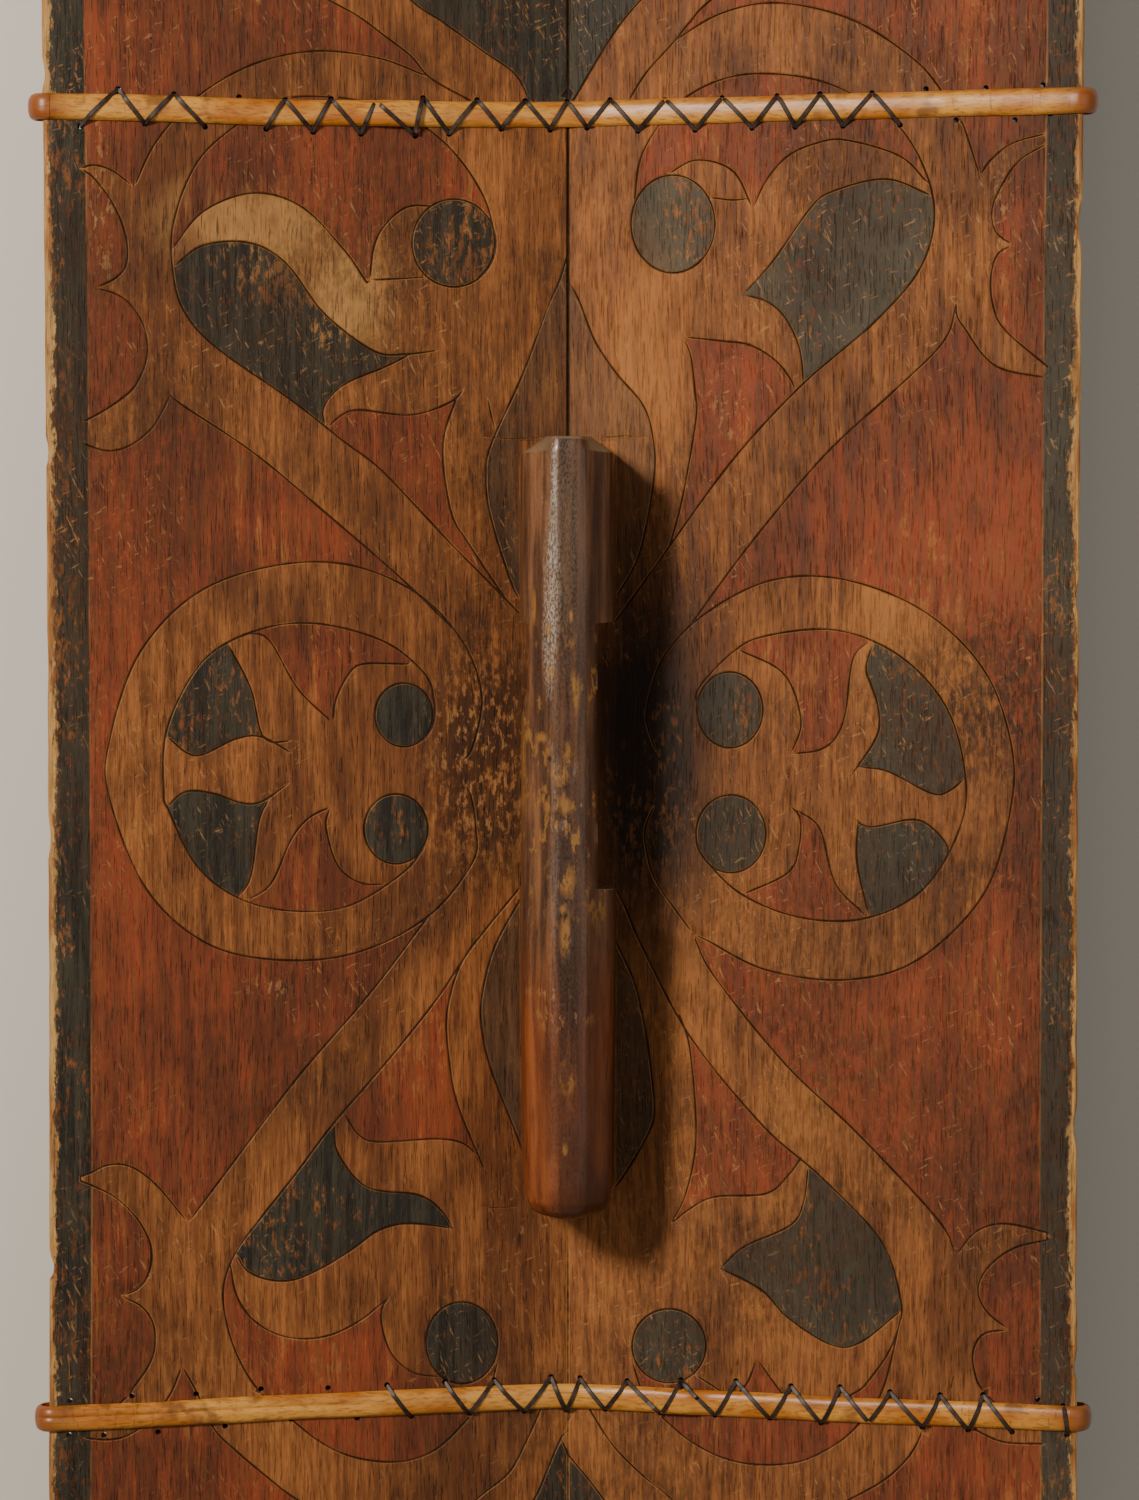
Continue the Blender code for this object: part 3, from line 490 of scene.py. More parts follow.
# One face of the board as triangles in plan. Every line is cut as a small V with its own three runs of
# points, and the painted fields are the areas that the lines close off.
def planFace(paths, finePaths, folds, fences, rim, spacing, seeds, creaseCut):
    places, edges, walls, cutters = [], [], set(), []
    holeTree = kdtree.KDTree(len(holePlaces))
    for i, place in enumerate(holePlaces):
        holeTree.insert((place.x, place.y, 0), i)
    holeTree.balance()

    # lines stop at the lacing holes; the middle ones are tied to the hole's rim
    def addRun(run, wall=False, closed=False, clipped=True, tied=False):
        first = len(places)
        links = [(i, i + 1) for i in range(len(run) - 1)]
        if closed:
            links.append((len(run) - 1, 0))
        holes, numbers = [], []
        for place in run:
            hole = holeTree.find((place.x, place.y, 0))
            holes.append(hole[1] if clipped and hole[2] < 0.0019 else None)
            numbers.append(len(places))
            if holes[-1] is None:
                places.append(place)
        for a, b in links:
            ends = [numbers[a], numbers[b]]
            if holes[a] is not None and holes[b] is not None:
                continue
            if holes[a] is not None or holes[b] is not None:
                if not tied:
                    continue
                free, hole = (run[b], holes[a]) if holes[a] is not None else (run[a], holes[b])
                corner = min(range(board["holeCorners"]),
                             key=lambda i: (places[loops[hole] + i] - free).length)
                ends[0 if holes[a] is not None else 1] = loops[hole] + corner
            if wall:
                walls.add(len(edges))
            edges.append(tuple(ends))
        return first

    def addGroove(middle, halfWidth, depth, wall):
        closed = (middle[0] - middle[-1]).length < 1e-6
        addRun(middle[:-1] if closed else middle, wall, closed=closed, tied=True)
        for side in (1, -1):
            flank = []
            for i, place in enumerate(middle):
                before = middle[i - 1] if i else (middle[-2] if closed else place)
                after = middle[i + 1] if i + 1 < len(middle) else (middle[1] if closed else place)
                along = (after - before).normalized()
                flank.append(place + side * halfWidth * Vector((-along.y, along.x)))
            addRun(flank[:-1] if closed else [middle[0]] + flank[1:-1] + [middle[-1]], closed=closed)
        dense = evenSteps(middle, groove["fineStep"])
        length = (len(dense) - 1) * groove["fineStep"]
        taper = min(groove["taper"], length / 2)
        for i, place in enumerate(dense):
            toEnd = min(i, len(dense) - 1 - i) * groove["fineStep"]
            fromEnd = 1.0 if closed else min(1.0, toEnd / taper)
            hand = 0.82 + 0.30 * noise.noise((place.x * 60, place.y * 60, 8.0))
            cutters.append((place, halfWidth, depth * hand, fromEnd))

    rimStart = addRun(rim, closed=True, clipped=False)
    loops = [addRun(holeLoop(place), closed=True, clipped=False) for place in holePlaces]
    for fold in folds:
        addRun(evenSteps(fold, groove["step"]), wall=True, tied=True)
    for fence in fences:
        addRun(evenSteps(fence + fence[:1], groove["step"])[:-1], wall=True, closed=True)
    if creaseCut is not None:
        dense = [Vector((creaseX, y))
                 for y in np.arange(-board["tipY"] + 0.002, board["tipY"] - 0.002, 0.0005)]
        for place in dense:
            share = creaseCut(place.y)
            cutters.append((place, groove["creaseWidth"], groove["creaseDepth"] * share, 1.0))
        for side in (1, -1):
            flank = [Vector((creaseX + side * groove["creaseWidth"], y))
                     for y in np.linspace(-board["tipY"] + 0.012, board["tipY"] - 0.012, 240)]
            addRun(flank)
    for path in paths:
        # the borders are painted rather than cut
        onlyPaint = any(path is border for border in borders.values())
        share = groove["borderShare"] if onlyPaint else 1
        addGroove(path, groove["halfWidth"], groove["depth"] * share, True)
    for path in finePaths:
        addGroove(path, groove["crackWidth"], groove["crackDepth"], False)
    tree = kdtree.KDTree(len(cutters))
    for i, cutter in enumerate(cutters):
        tree.insert((cutter[0].x, cutter[0].y, 0), i)
    tree.balance()
    # the ground between the lines, in staggered rows
    for row, y in enumerate(np.arange(-board["tipY"], board["tipY"], spacing * 0.87)):
        for x in np.arange(-board["halfWidth"] + (row % 2) * spacing / 2, board["halfWidth"], spacing):
            spot = (x, y, 0)
            near, number, away = edgeTree.find(spot)
            inside = outlineNormals[number].dot(outline[number] - Vector((x, y)))
            if inside < 0.0045 or abs(x - creaseX) < 0.0018:
                continue
            if tree.find(spot)[2] < 0.0016 or holeTree.find(spot)[2] < 0.0022:
                continue
            places.append(Vector((x, y)))
    plan = delaunay_2d_cdt(places, edges, [], 1, 1e-6, True)
    points, links, faces, fromPoints, fromLinks = plan[:5]
    newPlace = {}
    for number, sources in enumerate(fromPoints):
        for source in sources:
            newPlace[source] = number
    rimLoop = [newPlace[rimStart + i] for i in range(len(rim))]
    corners = board["holeCorners"]
    holeRims = [[newPlace[start + i] for i in range(corners)] for start in loops]
    inHole = {number: hole for hole, loop in enumerate(holeRims) for number in loop}
    onRim = set(rimLoop)
    faces = [face for face in faces
             if not (face[0] in inHole and len({inHole.get(corner, -1) for corner in face}) == 1)
             and not (onRim.issuperset(face) and outside(*[points[corner] for corner in face], rim))]
    # flood each painted field from its point
    blocked = {tuple(sorted(link)) for link, sources in zip(links, fromLinks)
               if any(source in walls for source in sources)}
    beside = {}
    for number, face in enumerate(faces):
        for i in range(3):
            beside.setdefault(tuple(sorted((face[i], face[i - 1]))), []).append(number)
    centres = kdtree.KDTree(len(faces))
    for number, face in enumerate(faces):
        middle = (points[face[0]] + points[face[1]] + points[face[2]]) / 3
        centres.insert((middle.x, middle.y, 0), number)
    centres.balance()
    zones = {}
    for zone, spots in seeds.items():
        for spot in spots:
            x, y = onBoard(*spot)
            waiting = [centres.find((x, y, 0))[1]]
            while waiting:
                number = waiting.pop()
                if number in zones:
                    continue
                zones[number] = zone
                face = faces[number]
                for i in range(3):
                    link = tuple(sorted((face[i], face[i - 1])))
                    if link not in blocked:
                        waiting.extend(other for other in beside[link] if other not in zones)
    # how deep each point lies in a groove
    depths = []
    for point in points:
        depth = 0.0
        for near, number, away in tree.find_range((point.x, point.y, 0), 0.0009):
            place, halfWidth, full, fromEnd = cutters[number]
            depth = max(depth, full * fromEnd * (1 - away / halfWidth))
        depths.append(depth)
    return points, faces, zones, depths, rimLoop, holeRims


def insetRim(depth):
    return [place - normal * (depth + wear) for place, normal, wear in zip(outline, outlineNormals, worn)]


# The crease is open above the handle and nearly closed beside and below it
def creaseCut(y):
    if y > 0.12:
        return 1.0
    return 0.35 + 0.2 * noise.noise((0, y * 30, 1))


roundings = [board["edgeRound"] * (1 + 0.35 * noise.noise((place.x * 25, place.y * 35, 9)))
             for place in outline]
innerRim = [rim - normal * rounding for rim, normal, rounding in zip(insetRim(0), outlineNormals, roundings)]
innerRim[outline.index(crease[0])].x = creaseX
innerRim[outline.index(crease[-1])].x = creaseX
fold = [innerRim[outline.index(crease[0])]] + crease[1:-1] + [innerRim[outline.index(crease[-1])]]
# the two feet of the handle close off the fields beside it
handleFeet = [[Vector((creaseX + x * board["footHalf"], y))
               for x, y in ((-1, low), (1, low), (1, high), (-1, high))] for low, high in board["feet"]]
inner = planFace(list(onFace.values()) + list(borders.values()), crackPaths, [fold], handleFeet, innerRim,
                 board["innerGrid"], fields, creaseCut)
print("inner face:", len(inner[0]), "points,", len(inner[1]), "triangles")
ridge = [[Vector((creaseX + side * board["ridgeFlat"] / 2, y)) for y in (-0.606, 0.606)] for side in (1, -1)]
outer = planFace([onFace[name] for name in outerLines] + list(borders.values()), [], ridge, [],
                 [place.copy() for place in innerRim], board["outerGrid"], outerFields, None)
print("outer face:", len(outer[0]), "points,", len(outer[1]), "triangles")


# Shield board: both faces, the worn rim between them and the walls of the lacing holes in one skin; its
# faces are a little uneven from the adze
def waviness(x, y):
    broad = noise.noise((x * 16, y * 7, 0.5))
    small = 0.5 * noise.noise((x * 45, y * 20, 4.5))
    return (broad + small) * board["undulation"]


def meshFrom(name, places, faces):
    mesh = bpy.data.meshes.new(name)
    mesh.from_pydata([tuple(place) for place in places], [], faces)
    mesh.validate()
    return mesh


# Faces between rings of points that follow one another, either in a loop or with both ends capped
def ringFaces(rings, count, looped=False):
    faces = []
    for ring in range(rings if looped else rings - 1):
        after = (ring + 1) % rings
        for i in range(count):
            j = (i + 1) % count
            faces.append([ring * count + i, ring * count + j, after * count + j, after * count + i])
    if not looped:
        faces += [list(range(count)), list(range((rings - 1) * count, rings * count))]
    return faces


def boardMesh():
    places, faces, zones, cuts, starts = [], [], [], [], []
    for plan, level, side in ((inner, innerZ, 1), (outer, outerZ, -1)):
        points, triangles, painted, depths = plan[:4]
        starts.append(len(places))
        for point, depth in zip(points, depths):
            wave = waviness(point.x, point.y)
            if side > 0:
                z = level(point.x) + wave - depth
            else:
                z = level(point.x) + (abs(wave) + depth if level(point.x) > 0 else 0)
            places.append(Vector((point.x, point.y, z)))
            cuts.append(depth / groove["depth"])
        for number, triangle in enumerate(triangles):
            corners = [starts[-1] + corner for corner in triangle]
            first, second, third = (points[corner] for corner in triangle)
            turn = (second - first).cross(third - first)
            if (turn > 0) != (side > 0):
                corners.reverse()
            faces.append(corners)
            zones.append(painted.get(number, "bare"))
    # rim, from the inner face round the worn edge to the outer one
    count = len(outline)
    firstLoop = [starts[0] + number for number in inner[4]]
    lastLoop = [starts[1] + number for number in outer[4]]
    profile = [(0.45, 0.16, "in"), (0.13, 0.52, "in"), (0.0, 1.15, "in"), (0.02, 0.5, "mid"),
               (0.0, 1.15, "out"), (0.16, 0.50, "out"), (0.50, 0.14, "out")]
    loops = [firstLoop]
    for inset, drop, part in profile:
        loop = []
        for i in range(count):
            place = outline[i] - outlineNormals[i] * (worn[i] + inset * roundings[i])
            high = innerZ(place.x) + waviness(place.x, place.y) - drop * roundings[i]
            low = outerZ(place.x) + drop * roundings[i]
            if part == "mid":
                waver = 1 + noise.noise((place.x * 90, place.y * 60, 5))
                place = place - outlineNormals[i] * 0.0003 * waver
                high = (innerZ(place.x) + outerZ(place.x)) / 2
            loop.append(len(places))
            places.append(Vector((place.x, place.y, low if part == "out" else high)))
            cuts.append(0.0)
        loops.append(loop)
    loops.append(lastLoop)
    for upper, lower in zip(loops, loops[1:]):
        for i in range(count):
            j = (i + 1) % count
            faces.append([upper[i], lower[i], lower[j], upper[j]])
            zones.append("rim")
    for upper, lower in zip(inner[5], outer[5]):
        for i in range(len(upper)):
            j = (i + 1) % len(upper)
            over = [starts[0] + upper[i], starts[0] + upper[j]]
            under = [starts[1] + lower[j], starts[1] + lower[i]]
            faces.append(over + under)
            zones.append("hole")
    mesh = meshFrom("shield_board", places, faces)
    cut = mesh.attributes.new("cut", "FLOAT", "POINT")
    cut.data.foreach_set("value", cuts)
    fromEdge = mesh.attributes.new("fromEdge", "FLOAT", "POINT")
    distances = []
    for place in places:
        near, number, away = edgeTree.find((place.x, place.y, 0))
        distances.append(max(0.0, outlineNormals[number].dot(outline[number] - place.xy)))
    fromEdge.data.foreach_set("value", distances)
    zone = mesh.attributes.new("zone", "FLOAT_COLOR", "CORNER")
    tint = {"black": (1, 0, 0, 1), "red": (0, 1, 0, 1)}
    values = [tint.get(zones[polygon.index], (0, 0, 0, 1))
              for polygon in mesh.polygons for corner in polygon.loop_indices]
    zone.data.foreach_set("color", np.array(values, dtype=np.float32).ravel())
    return mesh


# Handle: rings of points along it, each with the facets, the cut-in grip and the worn arrises
handle = {
    "top": 0.1236, "bottom": -0.1780, "width": 0.0388, "draft": 0.0020, "facet": 0.0110, "fall": 0.0090,
    "gripTop": 0.0525, "gripBottom": -0.0505, "gripDepth": 0.029, "gripHollow": 0.0025, "foot": 0.0070,
    "gapRound": 0.009, "gapOverrun": 0.002, "arris": 0.0016,
    "gripLeft": 0.0157, "gripRight": 0.0116, "leftStep": 0.0024, "stepRun": (0.0200, 0.0260),
}
# along it: share of the full width, share of the front flat, how far the front lies lower
handleRun = [(handle["bottom"], 0.52, 0.60, 0.0105), (handle["bottom"] + 0.0010, 0.68, 0.75, 0.0075),
             (handle["bottom"] + 0.0030, 0.82, 0.88, 0.0048), (handle["bottom"] + 0.0065, 0.92, 1.00, 0.0026),
             (handle["bottom"] + 0.0120, 0.955, 1.05, 0.0014), (-0.1480, 0.965, 1.10, 0.0006),
             (-0.0700, 1.0, 1.10, 0.0), (-0.0350, 1.0, 1.00, 0.0015), (0.0010, 1.0, 1.00, 0.0025),
             (0.0370, 1.0, 1.00, 0.0015), (0.0720, 1.0, 1.10, 0.0), (0.1060, 0.99, 1.00, 0.0002),
             (0.1176, 0.985, 0.98, 0.0003), (0.1186, 0.90, 0.97, 0.0004), (0.1230, 0.58, 0.95, 0.0010),
             (handle["top"], 0.55, 0.90, 0.0018)]
# notches and chips: middle (x from the handle's middle, y), half length along, half width, depth
handleChips = [
    (-0.0085, 0.1000, 0.0022, 0.0016, 0.0011), (-0.0138, 0.0560, 0.0075, 0.0010, 0.0005),
    (-0.0080, 0.0515, 0.0040, 0.0016, 0.0007), (0.0004, 0.0560, 0.0030, 0.0010, 0.0004),
    (-0.0165, 0.0190, 0.0035, 0.0022, 0.0012), (-0.0070, 0.0080, 0.0040, 0.0022, 0.0007),
    (0.0015, -0.0020, 0.0060, 0.0030, 0.0006), (-0.0030, -0.0230, 0.0040, 0.0020, 0.0006),
    (0.0100, 0.0300, 0.0050, 0.0014, 0.0008), (0.0105, -0.0300, 0.0060, 0.0012, 0.0007),
    (-0.0145, -0.0600, 0.0100, 0.0012, 0.0008), (-0.0010, -0.0680, 0.0110, 0.0016, 0.0005),
    (0.0160, -0.1100, 0.0060, 0.0012, 0.0006), (-0.0170, -0.1350, 0.0050, 0.0012, 0.0006),
    (0.0175, 0.0850, 0.0050, 0.0012, 0.0006)]


def alongRun(run, y):
    for first, second in zip(run, run[1:]):
        if y <= second[0]:
            share = (y - first[0]) / (second[0] - first[0])
            return [a + (b - a) * share for a, b in zip(first, second)]
    return list(run[-1])


def softStep(low, high, value):
    share = min(1.0, max(0.0, (value - low) / (high - low)))
    return share * share * (3 - 2 * share)


# How far the grip's sides stand from the handle's middle at a height along it
def gripLimits(y):
    inGrip = softStep(handle["gripBottom"] - 0.0006, handle["gripBottom"] + 0.0006, y)
    inGrip *= 1 - softStep(handle["gripTop"] - 0.0006, handle["gripTop"] + 0.0006, y)
    left = handle["gripLeft"] + handle["leftStep"] * (1 - softStep(*handle["stepRun"], y))
    left -= 0.0010 * math.exp(-((y - 0.0195) / 0.003) ** 2)  # a nick just below the step
    right = handle["gripRight"] - 0.0004 * math.sin((y + 0.05) * 31)
    full = 0.030  # wider than the handle, so that nothing is cut off
    return full + (left - full) * inGrip, full + (right - full) * inGrip


def handleRing(y):
    widthShare, flatShare, drop = alongRun(handleRun, y)[1:]
    base = handle["width"] / 2 * widthShare
    shoulder = base - handle["draft"]
    flat = handle["facet"] / 2 * flatShare
    front = board["front"] - drop
    low = front - handle["fall"]
    corners = [Vector((base, handle["foot"])), Vector((shoulder, low)), Vector((flat, front))]
    corners += [Vector((-corner.x, corner.y)) for corner in reversed(corners)]
    left, right = gripLimits(y)
    ring = []
    for i, corner in enumerate(corners):
        if i in (0, 5):
            ring.append(corner)
            continue
        before = (corners[i - 1] - corner).normalized()
        after = (corners[i + 1] - corner).normalized()
        size = handle["arris"] * (1 + 0.5 * noise.noise((i * 5, y * 40, 2)))
        for t in (-1, -0.6, -0.2, 0.2, 0.6, 1):
            pull = size * (1 - abs(t)) * 0.28
            way = before if t < 0 else after
            ring.append(corner + way * size * abs(t) + (before + after).normalized() * pull)
    spread = []
    for i, (first, second) in enumerate(zip(ring, ring[1:])):
        pieces = 16 if i in (0, 24) else 6 if i in (6, 12, 18) else 1
        spread += [first.lerp(second, step / pieces) for step in range(pieces)]
    spread.append(ring[-1])
    places = []
    for place in spread:
        x = min(max(place.x, -left), right)
        z = place.y
        if abs(x - place.x) > 1e-9:
            x += 0.0002 * noise.noise((x * 50, y * 40, z * 40))
        chip = 0.0
        if z > 0.035:
            for cx, cy, halfLong, halfWide, depth in handleChips:
                away = ((x - cx) / halfWide) ** 2 + ((y - cy) / halfLong) ** 2
                chip += depth * max(0.0, 1 - away)
            chip += 0.00012 * noise.noise((x * 120, y * 60, z * 60))
            chip += 0.00030 * (noise.noise((x * 30, y * 24, 6.0)) + 0.6)
        places.append(Vector((creaseX + x, y, z - chip)))
    return places


def handleMesh():
    stations = []
    y = handle["bottom"]
    while y < handle["top"]:
        stations.append(y)
        near = min(abs(y - handle["gripTop"]), abs(y - handle["gripBottom"]))
        ends = min(y - handle["bottom"], handle["top"] - y)
        y += 0.0003 if near < 0.0010 else 0.0008 if near < 0.003 or ends < 0.007 else 0.0019
    stations.append(handle["top"])
    rings = [handleRing(y) for y in stations]
    places = [place for ring in rings for place in ring]
    return meshFrom("handle_blank", places, ringFaces(len(rings), len(rings[0])))


def fingerGap():
    low, high = -0.01, board["front"] - handle["gripHollow"] - handle["gripDepth"]
    left, right = handle["gripBottom"] - handle["gapOverrun"], handle["gripTop"] + handle["gapOverrun"]
    shape = [(left, low), (right, low)]
    for side, corner in ((1, right), (-1, left)):
        turn = []
        for step in range(9):
            angle = math.pi / 2 * step / 8
            turn.append((corner - side * handle["gapRound"] * (1 - math.cos(angle)),
                         high - handle["gapRound"] * (1 - math.sin(angle))))
        shape += turn if side == 1 else turn[::-1]
    count = len(shape)
    places = [Vector((x, y, z)) for x in (-0.04, 0.04) for y, z in shape]
    faces = [list(range(count)), list(range(2 * count - 1, count - 1, -1))]
    faces += [[i, i + count, (i + 1) % count + count, (i + 1) % count] for i in range(count)]
    return meshFrom("finger_gap", places, faces)


def housingMesh(y):
    half = board["housingWidth"] / 2
    shape = bmesh.new()
    bmesh.ops.create_cube(shape, size=1.0)
    bmesh.ops.scale(shape, vec=(2 * board["housingReach"], 2 * half, board["housingDepth"] + 0.01),
                    verts=shape.verts)
    bmesh.ops.translate(shape, vec=(creaseX, y, (board["housingDepth"] - 0.01) / 2), verts=shape.verts)
    mesh = bpy.data.meshes.new("housing")
    shape.to_mesh(mesh)
    shape.free()
    return mesh


def outward(mesh):
    shape = bmesh.new()
    shape.from_mesh(mesh)
    bmesh.ops.recalc_face_normals(shape, faces=shape.faces)
    shape.to_mesh(mesh)
    shape.free()
    return mesh


def newObject(name, mesh):
    item = bpy.data.objects.new(name, mesh)
    bpy.context.scene.collection.objects.link(item)
    return item


# The object's mesh after its boolean with each of the others, which are then removed
def combined(item, others, solver):
    for other, operation in others:
        modifier = item.modifiers.new(other.name, "BOOLEAN")
        modifier.solver = solver
        modifier.operation = operation
        modifier.object = other
    bpy.context.view_layer.update()
    result = bpy.data.meshes.new_from_object(item.evaluated_get(bpy.context.evaluated_depsgraph_get()))
    item.modifiers.clear()
    item.data = result
    for other, operation in others:
        bpy.data.objects.remove(other, do_unlink=True)
    return item


shieldBoard = newObject("carved_board", outward(boardMesh()))
print("board skin:", len(shieldBoard.data.polygons), "faces")
carvedHandle = newObject("handle_blank", outward(handleMesh()))
gapCutter = newObject("finger_gap", outward(fingerGap()))
for item in (carvedHandle, gapCutter):
    farFromEdge = item.data.attributes.new("fromEdge", "FLOAT", "POINT")
    farFromEdge.data.foreach_set("value", [1.0] * len(item.data.vertices))
combined(carvedHandle, [(gapCutter, "DIFFERENCE")], "MANIFOLD")
for item in (shieldBoard, carvedHandle):
    for name in ("carved hardwood with rubbed black and red paint", "handle hardwood polished by hands"):
        item.data.materials.append(bpy.data.materials.get(name) or bpy.data.materials.new(name))
housings = [(newObject("housing_" + band, outward(housingMesh(y))), "DIFFERENCE")
            for band, y in board["bandY"].items()]
combined(shieldBoard, housings + [(carvedHandle, "UNION")], "MANIFOLD")


# Whether a face stands up from the board, as only the handle's do
def onHandle(face):
    middle = face.calc_center_median()
    beside = abs(middle.x - creaseX) < handle["width"] * 0.6
    within = handle["bottom"] - 0.001 < middle.y < handle["top"] + 0.001
    return beside and within and middle.z > innerZ(middle.x) + 0.0007


def softShading(item, angle, handleAngle=None):
    shape = bmesh.new()
    shape.from_mesh(item.data)
    for face in shape.faces:
        face.smooth = True
        if handleAngle:
            face.material_index = int(onHandle(face))
    for edge in shape.edges:
        limit = handleAngle if handleAngle and all(face.material_index for face in edge.link_faces) else angle
        edge.smooth = len(edge.link_faces) == 2 and edge.calc_face_angle(0.0) < math.radians(limit)
    shape.to_mesh(item.data)
    shape.free()


softShading(shieldBoard, 27, 52)
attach(shieldBoard, "root")
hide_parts("shield_board")
print("board with handle:", len(shieldBoard.data.polygons), "faces")

# Cane bands: one split cane each, bent round the board, its end lapped over its start on the inner face
cane = {"width": 0.0100, "thick": 0.0027, "gap": 0.0003, "lift": 0.0012, "span": 0.010, "edgeThick": 0.008,
        "step": 0.0025, "lapLength": 0.012, "bendInset": 0.0014, "bendSpare": 0.0012}
bands = {
    "upper_cane_band": {
        "y": board["bandY"]["upper"], "lap": (422, 117), "lapSide": -1, "ridges": 0.0,
        "middle": [(-0.205, 0.2498), (-0.12, 0.2494), (-0.06, 0.2497), (0.0, 0.2510), (0.08, 0.2516),
                   (0.205, 0.2519)],
        "nodes": [942], "replaces": "upper_cane_band", "seed": 3.0},
    "lower_cane_band": {
        "y": board["bandY"]["lower"], "lap": (655, 1396), "lapSide": 1, "ridges": 1.0,
        "middle": [(-0.205, -0.2560), (-0.10, -0.2557), (0.0, -0.2560), (0.10, -0.2566), (0.205, -0.2560)],
        "nodes": [124], "replaces": "lower_cane_band", "seed": 11.0},
}


def innerLine(x):
    off = abs(x - creaseX)
    side = 1 if x > creaseX else -1
    share = max(0.0, 1 - off / cane["span"])
    turn = math.atan(innerRise) * (1 - share * share)
    normal = Vector((-side * math.sin(turn), math.cos(turn)))
    return Vector((x, innerZ(x) + cane["lift"] * share * share)) + normal * cane["gap"], normal


def outerLine(x):
    if outerZ(x) < board["housingDepth"]:
        return Vector((x, board["housingDepth"] - cane["gap"])), Vector((0, -1))
    turn = math.atan(outerRise)
    normal = Vector((math.copysign(math.sin(turn), x - creaseX), -math.cos(turn)))
    return Vector((x, outerZ(x))) + normal * cane["gap"], normal


def edgeBend(side, y):
    x = side * (sideX(y) - cane["bendInset"])
    middle = Vector((x, (innerZ(x) + outerZ(x)) / 2))
    radius = cane["edgeThick"] / 2 + 2 * cane["gap"]
    start = math.pi / 2 + side * math.atan(innerRise)
    end = side * math.atan(outerRise) - math.pi / 2 + (0 if side > 0 else 2 * math.pi)
    steps = 18
    turns = [start + (end - start) * step / steps for step in range(steps + 1)]
    return [(middle + radius * Vector((math.cos(turn), math.sin(turn))),
             Vector((math.cos(turn), math.sin(turn)))) for turn in turns]


# Foot and outward way of the cane all round, in the plane across the board
def bandPath(band):
    y = band["y"]
    reach = sideX(y) - cane["bendInset"] - cane["bendSpare"]
    lapX = onBoard(*band["lap"])[0]
    side = -band["lapSide"]
    # from the lap away over one half, round its edge, under the board and back to the lap
    start = lapX - side * cane["lapLength"]
    first = [innerLine(x) for x in np.arange(start, side * reach, side * cane["step"])]
    bendOut = edgeBend(side, y)
    under = [outerLine(x) for x in np.arange(side * reach, -side * reach, -side * cane["step"])]
    bendBack = edgeBend(-side, y)[::-1]
    last = [innerLine(x) for x in np.arange(-side * reach, lapX, side * cane["step"])]
    path = first + bendOut + under + bendBack + last
    lengths = [0.0]
    for here, there in zip(path, path[1:]):
        lengths.append(lengths[-1] + (there[0] - here[0]).length)
    frames = []
    total = lengths[-1]
    for (foot, normal), along in zip(path, lengths):
        # the last end lies over the first one
        over = softStep(total - cane["lapLength"] - 0.010, total - cane["lapLength"] - 0.001, along)
        thin = 1 - 0.35 * (1 - softStep(0, cane["lapLength"], along))
        thin *= 1 - 0.30 * softStep(total - 0.010, total, along)
        frames.append((foot + normal * over * cane["thick"] * 0.70, normal, along, thin))
    return frames


# How high the cane's round back stands at a share of its half width
def caneBack(u):
    return math.sqrt(max(0.0, 1 - (u * u) ** 1.3)) * 0.86 + 0.10


def bandMesh(name, band):
    frames = bandPath(band)
    nodePlaces = [onBoard(px, 750)[0] for px in band["nodes"]]
    half = cane["width"] / 2
    across = np.linspace(-1, 1, 17)
    places, lengths = [], []
    for foot, normal, along, thin in frames:
        y = np.interp(foot.x, [p[0] for p in band["middle"]], [p[1] for p in band["middle"]])
        y += 0.00035 * noise.noise((foot.x * 22, band["seed"], 0))
        ring = 0.0
        if normal.y > 0.5:
            ring = sum(math.exp(-((foot.x - x) / 0.0016) ** 2) for x in nodePlaces)
        wide = half * (1 + 0.05 * noise.noise((along * 30, band["seed"], 2)) + 0.05 * ring)
        high = cane["thick"] * thin * (1 + 0.06 * noise.noise((along * 40, band["seed"], 5)) + 0.16 * ring)
        section = []
        for u in across:
            v = caneBack(u)
            if band["ridges"] and foot.x < -0.07 and normal.y > 0.5:
                v -= 0.16 * math.exp(-((u - 0.12) / 0.13) ** 2) * softStep(-0.07, -0.09, foot.x)
            section.append((u * wide, v * high if abs(u) < 1 else high * 0.12))
        section += [(wide * 0.92, 0.0), (wide * 0.3, 0.0), (-wide * 0.3, 0.0), (-wide * 0.92, 0.0)]
        for u, v in section:
            place = foot + normal * v
            places.append(Vector((place.x, y + u, place.y)))
            lengths.append(along)
    count = len(across) + 4
    mesh = meshFrom(name, places, ringFaces(len(frames), count))
    mesh.attributes.new("along", "FLOAT", "POINT").data.foreach_set("value", lengths)
    mesh.attributes.new("acrossCane", "FLOAT", "POINT").data.foreach_set(
        "value", [(list(across) + [1, 1, -1, -1])[i % count] for i in range(len(places))])
    return outward(mesh)


canePieces = {}
for name, band in bands.items():
    piece = newObject("split_" + name, bandMesh(name, band))
    softShading(piece, 38)
    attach(piece, "root")
    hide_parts(band["replaces"])
    canePieces[name] = piece
print("cane bands done")

# Lacing: a flat split fibre, out along its run and back, so that every stitch lies on both faces
lace = {"width": 0.00170, "thick": 0.00050, "holeWidth": 0.00085, "clear": 0.00025, "spread": 0.00036,
        "steps": 12}
# shares of its half width and of its thickness
laceSection = ((1, 0.1), (0.75, 0.5), (0, 0.36), (-0.75, 0.5), (-1, 0.1), (-0.75, -0.5), (0.75, -0.5))


